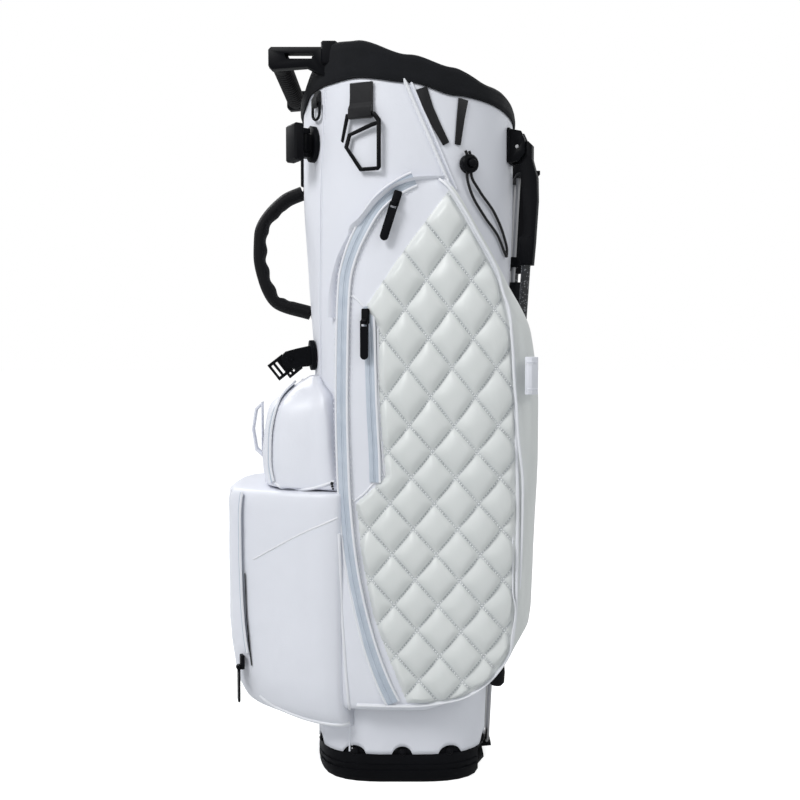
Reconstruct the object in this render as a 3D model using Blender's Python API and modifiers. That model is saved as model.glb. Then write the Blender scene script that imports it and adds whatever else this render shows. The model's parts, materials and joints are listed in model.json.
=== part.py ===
"""Golf stand bag, modelled at real size in metres.

The bag stands upright on Z = 0 with its origin at the middle of the base. -X is the front, with the
carry handle and the ball pocket. +X is the back, with the hip pad and the folded legs. -Y is the
near side and +Y the far side, which mirrors it.

Angles round the bag are measured from the front, and grow towards the near side.
"""
import math

import bmesh
import bpy
from mathutils import Matrix, Vector

# Driving sizes
BAG_HEIGHT = 0.855
TOP_WIDTH = 0.256
TOP_DEPTH = 0.254
BASE_WIDTH = 0.205
BASE_DEPTH = 0.194
TOP_LEAN = 0.0075
BASE_LEAN = 0.0
TOP_SQUARENESS = 2.2
BASE_SQUARENESS = 3.4
WALL = 0.0022
GAP = 0.0003

# Base
RIM_HEIGHT = 0.034
SKIRT_HEIGHT = 0.055
CUP_WALL = 0.004
FLOOR = 0.004
CAVITY_HEIGHT = 0.0315
FLAP_HINGE_X = 0.024
FLAP_HINGE_Z = 0.0075
FLAP_HALF_WIDTH = 0.0695
FLAP_THICK = 0.004
FLAP_SLOPE = 0.0963
FLAP_PIN_RADIUS = 0.0025
KNUCKLE_RADIUS = 0.0055

# Legs and the rod that drives them
LEG_ANGLE = 157.0
LEG_PIVOT_DROP = 0.109
LEG_PIVOT_OUT = 0.0115
LEG_LENGTH = 0.640
LEG_RADIUS = 0.0055
LEG_FOOT_OUT = 0.0125
FOOT_RADIUS = 0.010
FOOT_LENGTH = 0.034
PIN_RADIUS = 0.002
PEG_RADIUS = 0.003
PEG_OUT = 0.010
PEG_DROP = 0.020
ROD_RADIUS = 0.0025
ROD_SPREAD = 0.022
YOKE_HALF_WIDTH = 0.044
YOKE_THICK = 0.005
YOKE_GAP = 0.0010

# Handles
ARM_SPREAD = 0.090
ARM_THICK = 0.011
LIFT_REACH = 0.152
GRIP_RADIUS = 0.0115
GRIP_CORE_RADIUS = 0.0075
CARRY_REACH = 0.172
CARRY_RADIUS = 0.011

# Pockets
BALL_POCKET_DEPTH = 0.107
BALL_POCKET_TOP = 0.345
BALL_POCKET_BOTTOM = 0.068
UPPER_POCKET_DEPTH = 0.0605
UPPER_POCKET_TOP = 0.478
GARMENT_BOTTOM = 0.092
GARMENT_DROP = 0.155
GARMENT_CORNER = 0.0565
POCKET_GAP = 0.0008
POCKET_WALL = 0.0025
DIP_ROOM = 2.2
RISE_FADE = 0.160
GARMENT_RISE = ((0.0, 0.0), (0.45, 0.0), (0.62, 0.010), (0.73, 0.020), (0.84, 0.046), (0.905, 0.075),
                (1.0, 0.090))

SEGMENTS = 48
NEAR = 1
FAR = -1
SIDES = ((NEAR, "near"), (FAR, "far"))

# Height stations of the tube: drop below the top, share of the way from base to top size, and lean
STATIONS = (
    (0.555, 0.22, 0.004),
    (0.365, 0.52, 0.008),
    (0.255, 0.84, 0.009),
    (0.155, 1.00, TOP_LEAN),
    (0.000, 1.00, TOP_LEAN),
)
# Top edge and lower edge of the cuff: angle from the front, and drop below the highest point
CUFF_TOP = ((0, 0.046), (20, 0.040), (36, 0.020), (50, 0.0), (62, 0.002), (90, 0.021),
            (112, 0.033), (134, 0.047), (180, 0.068))
CUFF_FOOT = ((0, 0.067), (18, 0.062), (33, 0.049), (45, 0.046), (62, 0.044), (90, 0.052),
             (113, 0.064), (180, 0.077))


# ---------------------------------------------------------------- the scene and its materials

for old in list(bpy.data.objects):
    bpy.data.objects.remove(old)

BAG = bpy.data.collections.new("golf_stand_bag")
CUTTERS = bpy.data.collections.new("cutters")
for group in (BAG, CUTTERS):
    bpy.context.scene.collection.children.link(group)
CUTTERS.hide_render = True


def finish(name, colour, roughness, metallic=0.0):
    made = bpy.data.materials.new(name)
    made.use_nodes = True
    shader = made.node_tree.nodes["Principled BSDF"]
    shader.inputs["Base Color"].default_value = (*colour, 1.0)
    shader.inputs["Roughness"].default_value = roughness
    shader.inputs["Metallic"].default_value = metallic
    return made


WHITE_LEATHER = finish("white_leather", (0.80, 0.82, 0.84), 0.42)
QUILTED_LEATHER = finish("quilted_leather", (0.74, 0.76, 0.76), 0.45)
BLACK_PLASTIC = finish("black_plastic", (0.020, 0.021, 0.024), 0.45)
CUFF_FABRIC = finish("cuff_fabric", (0.022, 0.024, 0.028), 0.75)
WEBBING = finish("webbing", (0.012, 0.012, 0.014), 0.85)
RUBBER = finish("rubber", (0.020, 0.020, 0.022), 0.70)
CARBON = finish("carbon", (0.030, 0.032, 0.035), 0.35)
STEEL = finish("steel", (0.45, 0.45, 0.46), 0.35, 1.0)
DIVIDER_CLOTH = finish("divider_cloth", (0.05, 0.05, 0.055), 0.90)


# ---------------------------------------------------------------- shape tools

def eased(table, at):
    """Value at a place in a table of (place, value), joined by smooth steps."""
    if at <= table[0][0]:
        return table[0][1]
    for (start, low), (end, high) in zip(table, table[1:]):
        if at <= end:
            share = (at - start) / (end - start)
            return low + (high - low) * share * share * (3 - 2 * share)
    return table[-1][1]


def linear(table, at):
    """Value at a place in a table of (place, value), joined by straight lines."""
    if at <= table[0][0]:
        return table[0][1]
    for (start, low), (end, high) in zip(table, table[1:]):
        if at <= end:
            return low + (high - low) * (at - start) / (end - start)
    return table[-1][1]


def tube_size(z):
    """Half width, half depth, lean and squareness of the tube's outside at a height."""
    shares = [(RIM_HEIGHT, 0.0)] + [(BAG_HEIGHT - drop, share) for drop, share, _ in STATIONS]
    leans = [(RIM_HEIGHT, BASE_LEAN)] + [(BAG_HEIGHT - drop, lean) for drop, _, lean in STATIONS]
    share = linear(shares, z)
    width = BASE_WIDTH + (TOP_WIDTH - BASE_WIDTH) * share
    depth = BASE_DEPTH + (TOP_DEPTH - BASE_DEPTH) * share
    squareness = BASE_SQUARENESS + (TOP_SQUARENESS - BASE_SQUARENESS) * share
    return width / 2, depth / 2, linear(leans, z), squareness


def reach(angle, z, out=0.0):
    """Point at a distance outside the tube, measured from its middle line."""
    half_width, half_depth, lean, squareness = tube_size(z)
    c = math.cos(math.radians(angle))
    s = math.sin(math.radians(angle))
    power = abs(c / half_width) ** squareness + abs(s / half_depth) ** squareness
    radius = power ** (-1 / squareness) + out
    return Vector((lean - radius * c, -radius * s, z))


def outward(angle, z):
    """Level direction that points straight out of the tube's wall."""
    along = reach(angle + 0.5, z) - reach(angle - 0.5, z)
    return Vector((along.y, -along.x, 0)).normalized()


def wall_frame(angle, z, out=0.0, sloped=False):
    """Frame on the wall: X points out, Y runs level round the bag and Z is up, or along the wall."""
    x_axis = outward(angle, z)
    z_axis = Vector((0, 0, 1))
    y_axis = z_axis.cross(x_axis)
    if sloped:
        z_axis = (reach(angle, z + 0.01) - reach(angle, z - 0.01)).normalized()
        x_axis = y_axis.cross(z_axis)
    turn = Matrix((x_axis, y_axis, z_axis)).transposed().to_4x4()
    return Matrix.Translation(reach(angle, z) + x_axis * out) @ turn


def cuff_top(angle):
    return BAG_HEIGHT - eased(CUFF_TOP, abs(angle))


def cuff_foot(angle):
    return BAG_HEIGHT - eased(CUFF_FOOT, abs(angle))


def link(name, data, material, group=BAG):
    made = bpy.data.objects.new(name, data)
    data.materials.append(material)
    group.objects.link(made)
    return made


def mesh_object(name, bm, material, group=BAG):
    bmesh.ops.recalc_face_normals(bm, faces=bm.faces)
    mesh = bpy.data.meshes.new(name)
    bm.to_mesh(mesh)
    bm.free()
    mesh.shade_smooth()
    mesh.set_sharp_from_angle(angle=math.radians(35))
    return link(name, mesh, material, group)


def hide_cutter(cutter):
    cutter.display_type = "WIRE"
    cutter.hide_render = True
    return cutter


def combine(target, other, operation):
    """Boolean of the target with another mesh object, which becomes a cutter."""
    if other.name in BAG.objects:
        BAG.objects.unlink(other)
        CUTTERS.objects.link(other)
    hide_cutter(other)
    step = target.modifiers.new(operation.lower() + "_" + other.name, "BOOLEAN")
    step.operation = operation
    step.solver = "EXACT"
    step.object = other
    return target


def cut(target, other):
    return combine(target, other, "DIFFERENCE")


def join(target, other):
    return combine(target, other, "UNION")


def grid_mesh(rows, close_rows=False, close_columns=False):
    """Surface through a grid of points, closed round either way."""
    grid = [list(row) for row in rows]
    if close_columns:
        grid = [row + row[:1] for row in grid]
    if close_rows:
        grid = grid + grid[:1]
    columns = len(grid[0])
    bm = bmesh.new()
    bmesh.ops.create_grid(bm, x_segments=columns - 1, y_segments=len(grid) - 1, size=1)
    bm.verts.ensure_lookup_table()
    for index, vert in enumerate(bm.verts):
        vert.co = grid[index // columns][index % columns]
    bmesh.ops.remove_doubles(bm, verts=bm.verts, dist=0.00001)
    return bm


def stack(name, rings, material, group=BAG):
    """Solid through closed rings of points, with a flat cap at each end."""
    bm = grid_mesh(rings, close_columns=True)
    bmesh.ops.holes_fill(bm, edges=[edge for edge in bm.edges if edge.is_boundary])
    return mesh_object(name, bm, material, group)


def band(name, profiles, material, group=BAG):
    """Ring whose closed profile changes from one angle to the next."""
    bm = grid_mesh(profiles, close_rows=True, close_columns=True)
    return mesh_object(name, bm, material, group)


def padded_patch(name, inner, outer, material):
    """Closed pad between two grids of points with the same layout."""
    bm = grid_mesh(inner)
    columns = len(inner[0])
    bm.verts.ensure_lookup_table()
    place = bm.verts.layers.int.new("place")
    for index, vert in enumerate(bm.verts):
        vert[place] = index
    faces = list(bm.faces)
    made = bmesh.ops.extrude_face_region(bm, geom=faces, use_keep_orig=True)
    for item in made["geom"]:
        if isinstance(item, bmesh.types.BMVert):
            item.co = outer[item[place] // columns][item[place] % columns]
    return mesh_object(name, bm, material)


def block(name, size, centre, material, frame=None, bevel=0.0, group=BAG):
    """Box with rounded edges, in the frame given."""
    bm = bmesh.new()
    bmesh.ops.create_cube(bm, size=1)
    bmesh.ops.scale(bm, vec=Vector(size), verts=bm.verts)
    bmesh.ops.translate(bm, vec=Vector(centre), verts=bm.verts)
    if bevel:
        bmesh.ops.bevel(bm, geom=bm.edges, offset=bevel, segments=1, affect="EDGES")
    made = mesh_object(name, bm, material, group)
    if frame:
        made.matrix_world = frame
    return made


def cylinder(name, radius, start, end, material, sides=16, group=BAG):
    """Round bar from one point to another."""
    start, end = Vector(start), Vector(end)
    bm = bmesh.new()
    bmesh.ops.create_cone(bm, cap_ends=True, segments=sides, radius1=radius, radius2=radius,
                          depth=(end - start).length)
    made = mesh_object(name, bm, material, group)
    turn = Vector((0, 0, 1)).rotation_difference(end - start).to_matrix().to_4x4()
    made.matrix_world = Matrix.Translation((start + end) / 2) @ turn
    return made


def turned(name, profile, material, frame, steps=16, group=BAG):
    """Turned piece: the profile of (radius, height) runs down the outside, from axis to axis."""
    mesh = bpy.data.meshes.new(name)
    points = [(radius, 0, height) for radius, height in profile]
    mesh.from_pydata(points, [(i, i + 1) for i in range(len(points) - 1)], [])
    made = link(name, mesh, material, group)
    screw = made.modifiers.new("turn", "SCREW")
    screw.axis = "Z"
    screw.steps = steps
    screw.render_steps = steps
    screw.use_merge_vertices = True
    screw.merge_threshold = 0.00001
    made.matrix_world = frame
    return made


def flat_curve(name, outlines, thickness):
    """Flat 2D curve, with holes where an outline lies inside another."""
    curve = bpy.data.curves.new(name, "CURVE")
    curve.dimensions = "2D"
    curve.fill_mode = "BOTH"
    curve.extrude = thickness / 2
    for outline in outlines:
        spline = curve.splines.new("POLY")
        spline.points.add(len(outline) - 1)
        for point, (x, y) in zip(spline.points, outline):
            point.co = (x, y, 0, 1)
        spline.use_cyclic_u = True
    return curve


def plate(name, outlines, thickness, material, frame, group=BAG):
    """Flat plate cut to outlines in the frame's XY plane, as a mesh that Booleans take."""
    drawn = link(name + "_outline", flat_curve(name, outlines, thickness), material, group)
    drawn.matrix_world = frame
    bpy.context.view_layer.update()
    graph = bpy.context.evaluated_depsgraph_get()
    mesh = bpy.data.meshes.new_from_object(drawn.evaluated_get(graph))
    bpy.data.objects.remove(drawn)
    bm = bmesh.new()
    bm.from_mesh(mesh)
    bmesh.ops.remove_doubles(bm, verts=bm.verts, dist=0.00001)
    bpy.data.meshes.remove(mesh)
    made = mesh_object(name, bm, material, group)
    made.matrix_world = frame
    return made


def cord(name, points, radius, material, resolution=2):
    """Round cord or rod through a list of points, with closed ends."""
    curve = bpy.data.curves.new(name, "CURVE")
    curve.dimensions = "3D"
    curve.bevel_depth = radius
    curve.bevel_resolution = resolution
    curve.use_fill_caps = True
    spline = curve.splines.new("POLY")
    spline.points.add(len(points) - 1)
    for point, place in zip(spline.points, points):
        point.co = (*place, 1)
    return link(name, curve, material)


def smooth_route(points, per_span=5):
    """Catmull-Rom points through a route chosen by hand."""
    route = [Vector(point) for point in points]
    ends = [route[0] * 2 - route[1]] + route + [route[-1] * 2 - route[-2]]
    made = []
    for a, b, c, d in zip(ends, ends[1:], ends[2:], ends[3:]):
        for step in range(per_span):
            t = step / per_span
            made.append(0.5 * (2 * b + (c - a) * t + (2 * a - 5 * b + 4 * c - d) * t * t
                               + (3 * b - 3 * c + d - a) * t ** 3))
    return made + [route[-1]]


def section_ring(z, out, count=SEGMENTS):
    return [reach(360 * i / count, z, out) for i in range(count)]


def core(name, out, low, high):
    """Cutter of the tube's shape at a distance from its wall."""
    heights = [low] + [BAG_HEIGHT - drop for drop, _, _ in STATIONS if low < BAG_HEIGHT - drop < high]
    return stack(name, [section_ring(z, out) for z in heights + [high]], BLACK_PLASTIC, CUTTERS)


def arc(radius, start, end, count, centre=(0.0, 0.0)):
    """Points on an arc, in degrees."""
    turns = [math.radians(start + (end - start) * i / (count - 1)) for i in range(count)]
    return [(centre[0] + radius * math.cos(t), centre[1] + radius * math.sin(t)) for t in turns]


def xz_frame(place=(0, 0, 0)):
    """Frame whose XY plane is the world's XZ plane."""
    return Matrix.Translation(place) @ Matrix.Rotation(math.radians(90), 4, "X")


def side_frame(frame):
    """Turns a wall frame so that its XY plane is the plane of the outward direction and up."""
    return frame @ Matrix.Rotation(math.radians(90), 4, "X")


def face_frame(frame):
    """Turns a wall frame so that its XY plane lies flat on the wall, with Y up."""
    return frame @ Matrix.Rotation(math.radians(90), 4, "Z") @ Matrix.Rotation(math.radians(90), 4, "X")


# ---------------------------------------------------------------- base

def flap_top(x):
    """Height of the flap's upper face at rest."""
    return FLAP_HINGE_Z - KNUCKLE_RADIUS + FLAP_SLOPE * (x - FLAP_HINGE_X) + FLAP_THICK


def base_parts():
    """Moulded base cup, with a hinged flap behind that the leaning bag presses up."""
    chamfer = 0.003
    ledge = -(WALL + GAP)
    rings = [section_ring(0, -chamfer), section_ring(0.006, 0), section_ring(RIM_HEIGHT, 0),
             section_ring(RIM_HEIGHT, ledge), section_ring(SKIRT_HEIGHT, ledge)]
    cup = stack("base_cup", rings, BLACK_PLASTIC)
    inside = ledge - CUP_WALL
    raised_floor = CAVITY_HEIGHT + FLOOR - 0.0005
    cut(cup, core("cup_hollow", inside, raised_floor, SKIRT_HEIGHT + 0.01))
    riser = FLAP_HINGE_X - 0.0060
    front_hollow = core("cup_front_hollow", inside - 0.001, FLOOR, raised_floor + 0.001)
    keep = block("cup_front_half", (0.3, 0.4, 0.1), (riser - 0.006 - 0.15, 0, 0.03), BLACK_PLASTIC,
                 group=CUTTERS)
    combine(front_hollow, keep, "INTERSECT")
    cut(cup, front_hollow)
    cavity = block("flap_cavity", (0.2, 2 * FLAP_HALF_WIDTH + 0.001, CAVITY_HEIGHT + 0.01),
                   (riser + 0.1, 0, (CAVITY_HEIGHT - 0.01) / 2), BLACK_PLASTIC, group=CUTTERS)
    cut(cup, cavity)
    pin_half = FLAP_HALF_WIDTH + 0.012
    bore = cylinder("flap_pin_bore", FLAP_PIN_RADIUS + GAP, (FLAP_HINGE_X, -pin_half - GAP, FLAP_HINGE_Z),
                    (FLAP_HINGE_X, pin_half + GAP, FLAP_HINGE_Z), BLACK_PLASTIC, group=CUTTERS)
    cut(cup, bore)

    tip = BASE_WIDTH / 2 + BASE_LEAN
    tongue = 0.014
    outline = [(FLAP_HINGE_X, -FLAP_HALF_WIDTH), (tip - 0.014, -FLAP_HALF_WIDTH), (tip - 0.002, -0.045),
               (tip - 0.002, -tongue), (tip + 0.010, -tongue), (tip + 0.010, tongue),
               (tip - 0.002, tongue), (tip - 0.002, 0.045), (tip - 0.014, FLAP_HALF_WIDTH),
               (FLAP_HINGE_X, FLAP_HALF_WIDTH)]
    tilt = -math.atan(FLAP_SLOPE)
    middle = Vector((FLAP_HINGE_X, 0, flap_top(FLAP_HINGE_X) - FLAP_THICK / 2))
    frame = Matrix.Translation(middle) @ Matrix.Rotation(tilt, 4, "Y") @ Matrix.Translation((-middle.x, 0, 0))
    flap = plate("base_flap", [outline], FLAP_THICK, BLACK_PLASTIC, frame)
    knuckle = cylinder("flap_knuckle", KNUCKLE_RADIUS, (FLAP_HINGE_X, -FLAP_HALF_WIDTH, FLAP_HINGE_Z),
                       (FLAP_HINGE_X, FLAP_HALF_WIDTH, FLAP_HINGE_Z), BLACK_PLASTIC, group=CUTTERS)
    join(flap, knuckle)
    cut(flap, bore)
    cylinder("base_flap_pin", FLAP_PIN_RADIUS, (FLAP_HINGE_X, -pin_half, FLAP_HINGE_Z),
             (FLAP_HINGE_X, pin_half, FLAP_HINGE_Z), STEEL)


# ---------------------------------------------------------------- tube, cuff and dividers

FRAME_THICK = 0.0035
FRAME_HANG = 0.030
CUFF_OUT = 0.0032
CUFF_IN = 0.0090


def frame_foot(angle):
    return cuff_foot(angle) - FRAME_HANG


def tube_parts():
    """Outer tube of coated cloth, the stiff ring at its top and the soft cuff that wraps the ring."""
    profiles = []
    for i in range(SEGMENTS):
        angle = 360 * i / SEGMENTS
        folded = angle if angle <= 180 else angle - 360
        top = cuff_foot(folded) - GAP
        heights = [RIM_HEIGHT + GAP, 0.042, 0.17]
        heights += [BAG_HEIGHT - drop for drop, _, _ in STATIONS[:4]] + [top]
        outside = [reach(angle, z) for z in heights]
        inside = [reach(angle, z, -WALL) for z in reversed(heights)]
        profiles.append(outside + inside)
    band("body_shell", profiles, WHITE_LEATHER)

    outer = -(WALL + GAP)
    inner = outer - FRAME_THICK
    ring = []
    cuff = []
    for i in range(SEGMENTS):
        angle = 360 * i / SEGMENTS
        folded = angle if angle <= 180 else angle - 360
        foot, top = cuff_foot(folded), cuff_top(folded)
        rise = top - foot
        low, high = frame_foot(folded), top - 0.0038
        ring.append([reach(angle, low, outer), reach(angle, high, outer), reach(angle, high, inner),
                     reach(angle, low, inner)])
        seat = top - 0.0035
        points = ((0.0010, foot), (CUFF_OUT, foot + 0.45 * rise), (0.0012, foot + 0.88 * rise),
                  (-0.0030, top), (-0.0072, foot + 0.9 * rise), (-CUFF_IN, foot + 0.5 * rise),
                  (inner - GAP, foot + 0.45 * rise), (inner - GAP, seat), (outer + GAP, seat),
                  (outer + GAP, foot))
        cuff.append([reach(angle, z, out) for out, z in points])
    band("top_frame", ring, BLACK_PLASTIC)
    band("top_cuff", cuff, CUFF_FABRIC)


BAR_OFFSET = 0.040
BAR_WIDTH = 0.008
BAR_HEIGHT = 0.022
DIVIDER_SLOPE = 0.09
PANEL_THICK = 0.0012


def divider_height(x):
    """Height of the middle of the divider bars."""
    return BAG_HEIGHT - 0.084 - DIVIDER_SLOPE * (x - TOP_LEAN)


def divider_parts():
    """Six-way top divider, and the full length cloth walls that hang from it."""
    inner = -(WALL + GAP + FRAME_THICK + GAP)
    tilt = Matrix.Rotation(math.atan(DIVIDER_SLOPE), 4, "Y")
    middle = Matrix.Translation((TOP_LEAN, 0, divider_height(TOP_LEAN))) @ tilt
    bars = block("top_divider", (0.30, BAR_WIDTH, BAR_HEIGHT), (0, 0, 0), BLACK_PLASTIC, middle)
    panels = block("full_length_divider", (0.40, PANEL_THICK, BAG_HEIGHT), (0, 0, 0), DIVIDER_CLOTH,
                   Matrix.Translation((TOP_LEAN, 0, BAG_HEIGHT / 2)))
    for side, place in ((-1, "front"), (1, "back")):
        offset = side * BAR_OFFSET
        join(bars, block("bar_" + place, (BAR_WIDTH, 0.30, BAR_HEIGHT), (offset, 0, 0), BLACK_PLASTIC,
                         middle, group=CUTTERS))
        join(panels, block("panel_" + place, (PANEL_THICK, 0.40, BAG_HEIGHT), (0, 0, 0), DIVIDER_CLOTH,
                           Matrix.Translation((TOP_LEAN + offset, 0, BAG_HEIGHT / 2)), group=CUTTERS))
    combine(bars, core("divider_core", inner, BAG_HEIGHT - 0.2, BAG_HEIGHT), "INTERSECT")
    panel_core = core("panel_core", inner - 0.0016, RIM_HEIGHT + 0.005, BAG_HEIGHT - 0.05)
    above = block("panel_top_trim", (0.4, 0.4, 0.2), (0, 0, 0.1 - BAR_HEIGHT / 2 - GAP * 2), DIVIDER_CLOTH,
                  middle, group=CUTTERS)
    combine(panels, panel_core, "INTERSECT")
    cut(panels, above)


def stay_parts():
    """Two springy stays that keep the soft tube straight between the base and the top ring."""
    radius = 0.0025
    out = -(WALL + GAP + radius)
    for side, word in SIDES:
        low = SKIRT_HEIGHT + 0.001
        high = frame_foot(90) - 0.001
        count = 9
        heights = [low + (high - low) * i / (count - 1) for i in range(count)]
        cord("stay_" + word, [reach(90 * side, z, out - 0.0012) for z in heights], radius, STEEL)


# ---------------------------------------------------------------- lift handle and carry handle

def lift_handle_parts():
    """Moulded lift handle at the front of the top, with a rubber grip across its two arms."""
    top = BAG_HEIGHT - 0.004
    root_x = -0.062
    arm = [(-LIFT_REACH, top - 0.003), (-LIFT_REACH + 0.003, top), (-0.086, top), (-0.080, top - 0.012),
           (-0.084, top - 0.034), (-0.089, top - 0.032), (-0.108, top - 0.022),
           (-LIFT_REACH + 0.004, top - 0.025), (-LIFT_REACH, top - 0.021)]
    slot = [(-0.134, top - 0.007), (-0.101, top - 0.007), (-0.103, top - 0.013), (-0.132, top - 0.013)]
    handle = plate("lift_handle_frame", [arm, slot], ARM_THICK, BLACK_PLASTIC,
                   xz_frame((0, -ARM_SPREAD, 0)))
    far_arm = plate("lift_arm_far", [arm, slot], ARM_THICK, BLACK_PLASTIC, xz_frame((0, ARM_SPREAD, 0)),
                    CUTTERS)
    bar_x, bar_z = -LIFT_REACH + 0.012, top - 0.013
    bar = cylinder("lift_cross_bar", GRIP_CORE_RADIUS, (bar_x, -ARM_SPREAD, bar_z),
                   (bar_x, ARM_SPREAD, bar_z), BLACK_PLASTIC, group=CUTTERS)
    join(handle, far_arm)
    join(handle, bar)
    room = core("handle_room", -(WALL + GAP) + GAP, BAG_HEIGHT - 0.12, BAG_HEIGHT + 0.02)
    cuff = bpy.data.objects["top_cuff"]
    for side, word in SIDES:
        size = (root_x + 0.092, 0.0125, 0.026)
        centre = (root_x - size[0] / 2, -side * (ARM_SPREAD + 0.004), BAG_HEIGHT - 0.011)
        root = block("lift_root_" + word, size, centre, BLACK_PLASTIC, bevel=0.002, group=CUTTERS)
        notch_size = [length + 4 * GAP for length in size]
        notch = block("cuff_notch_" + word, notch_size, centre, BLACK_PLASTIC, group=CUTTERS)
        join(handle, root)
        arm_size = (0.030, ARM_THICK + 4 * GAP, 0.046)
        arm_centre = (-0.088, -side * ARM_SPREAD, top - 0.016)
        arm_notch = block("cuff_arm_notch_" + word, arm_size, arm_centre, BLACK_PLASTIC, group=CUTTERS)
        cut(cuff, notch)
        cut(cuff, arm_notch)
    for step in cuff.modifiers:
        step.solver = "MANIFOLD"
    cut(handle, room)

    half = ARM_SPREAD - ARM_THICK / 2 - GAP
    profile = [(GRIP_CORE_RADIUS + GAP, half), (GRIP_RADIUS - 0.001, half), (GRIP_RADIUS, half - 0.002),
               (GRIP_RADIUS, -half + 0.002), (GRIP_RADIUS - 0.001, -half), (GRIP_CORE_RADIUS + GAP, -half),
               (GRIP_CORE_RADIUS + GAP, half)]
    frame = Matrix.Translation((bar_x, 0, bar_z)) @ Matrix.Rotation(math.radians(90), 4, "X")
    turned("lift_handle_grip", profile, RUBBER, frame, steps=24)


def carry_handle():
    """Padded carry handle on the front, bolted at both ends."""
    top, bottom = BAG_HEIGHT - 0.152, BAG_HEIGHT - 0.301
    middle = (top + bottom) / 2
    clear = 0.001
    start = reach(0, top).x - clear
    end = reach(0, bottom).x - clear
    route = smooth_route([
        (start, 0, top), (start - 0.024, 0, top - 0.011), (-CARRY_REACH, 0, middle + 0.022),
        (-CARRY_REACH - 0.001, 0, middle - 0.003), (-CARRY_REACH + 0.005, 0, middle - 0.034),
        (-CARRY_REACH + 0.020, 0, bottom + 0.014), (end, 0, bottom)], per_span=3)
    rings = []
    for i, place in enumerate(route):
        before, after = route[max(i - 1, 0)], route[min(i + 1, len(route) - 1)]
        along = (after - before).normalized()
        if i in (0, len(route) - 1):
            along = Vector((-1, 0, 0)) if i == 0 else Vector((1, 0, 0))
        across = along.cross(Vector((0, 1, 0)))
        rings.append([place + across * (CARRY_RADIUS * x) + Vector((0, 0.014 * y, 0))
                      for x, y in arc(1, 0, 330, 12)])
    stack("carry_handle", rings, RUBBER)


# ---------------------------------------------------------------- strap points

UPPER_PLATE_ANGLE = 34.0
UPPER_PLATE_DROP = 0.109
LOWER_PLATE_ANGLE = 24.0
LOWER_PLATE_DROP = 0.353
PLATE_THICK = 0.006


def oval(half_width, half_height, count=16):
    return [(half_width * x, half_height * y) for x, y in arc(1, 0, 360 - 360 / count, count)]


def strap_points():
    """Four places where the shoulder straps clip on: an oval plate with a swivelling buckle."""
    for side, word in SIDES:
        high = wall_frame(UPPER_PLATE_ANGLE * side, BAG_HEIGHT - UPPER_PLATE_DROP, GAP + PLATE_THICK / 2)
        upper = plate("strap_plate_upper_" + word, [oval(0.013, 0.021)], PLATE_THICK, BLACK_PLASTIC,
                      face_frame(high))
        stud = block("strap_stud_upper_" + word, (0.008, 0.010, 0.020), (0.006, 0, 0), BLACK_PLASTIC,
                     high, bevel=0.001, group=CUTTERS)
        join(upper, stud)
        pivot = Vector((0.0105, 0, 0))
        eye = cylinder("strap_eye_upper_" + word, 0.0055, high @ (pivot - Vector((0, 0, 0.010))),
                       high @ (pivot + Vector((0, 0, 0.010))), BLACK_PLASTIC, group=CUTTERS)
        join(upper, eye)
        hole = cylinder("strap_hole_upper_" + word, 0.0022, high @ (pivot - Vector((0, 0, 0.030))),
                        high @ (pivot + Vector((0, 0, 0.030))), BLACK_PLASTIC, group=CUTTERS)
        cut(upper, hole)
        clip = block("strap_clip_" + word, (0.012, 0.026, 0.042), (0.0225, 0, -0.001), BLACK_PLASTIC,
                     high, bevel=0.002)
        for end, label in ((1, "top"), (-1, "foot")):
            fork = block("clip_fork_" + label + "_" + word, (0.014, 0.011, 0.006),
                         (0.0125, 0, end * 0.0134), BLACK_PLASTIC, high, group=CUTTERS)
            join(clip, fork)
        pin = cylinder("clip_pin_" + word, 0.0018, high @ (pivot - Vector((0, 0, 0.0135))),
                       high @ (pivot + Vector((0, 0, 0.0135))), BLACK_PLASTIC, group=CUTTERS)
        join(clip, pin)

        low = wall_frame(LOWER_PLATE_ANGLE * side, BAG_HEIGHT - LOWER_PLATE_DROP, 2 * GAP + PLATE_THICK / 2,
                         sloped=True)
        lower = plate("strap_plate_lower_" + word, [oval(0.012, 0.018)], PLATE_THICK, BLACK_PLASTIC,
                      face_frame(low))
        arm = plate("strap_arm_lower_" + word,
                    [[(0.0, 0.012), (0.018, 0.009)] + arc(0.0115, 60, -60, 7, (0.026, -0.004))
                     + [(0.018, -0.014), (0.0, -0.012)]], 0.006, BLACK_PLASTIC, side_frame(low), CUTTERS)
        join(lower, arm)
        swivel = Vector((0.026, 0, -0.004))
        buckle_frame = low @ Matrix.Translation(swivel)
        bore = cylinder("swivel_bore_" + word, 0.0033, low @ (swivel - Vector((0, 0.02, 0))),
                        low @ (swivel + Vector((0, 0.02, 0))), BLACK_PLASTIC, group=CUTTERS)
        cut(lower, bore)
        body = [(0.004, 0.0115), (0.026, 0.0115), (0.026, -0.0115), (0.004, -0.0115)]
        slots = [[(x, -0.008), (x + 0.003, -0.008), (x + 0.003, 0.008), (x, 0.008)] for x in (0.014, 0.020)]
        lean = Matrix.Rotation(math.radians(35), 4, "Y")
        outer_face = 0.003 + GAP + 0.0015
        lock_frame = buckle_frame @ Matrix.Translation((0, -side * outer_face, 0)) @ lean
        lock = plate("ladder_lock_" + word, [body] + slots, 0.003, BLACK_PLASTIC, side_frame(lock_frame))
        hub = turned("swivel_hub_" + word, [(0, 0.0015), (0.0095, 0.0015), (0.0095, -0.0015),
                                           (0.003, -0.0015), (0.003, -0.0078), (0, -0.0078)],
                     BLACK_PLASTIC, side_frame(lock_frame) @ Matrix.Rotation(0 if side == 1 else math.pi, 4, "X"),
                     group=CUTTERS)
        join(lock, hub)


# ---------------------------------------------------------------- pockets

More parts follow.
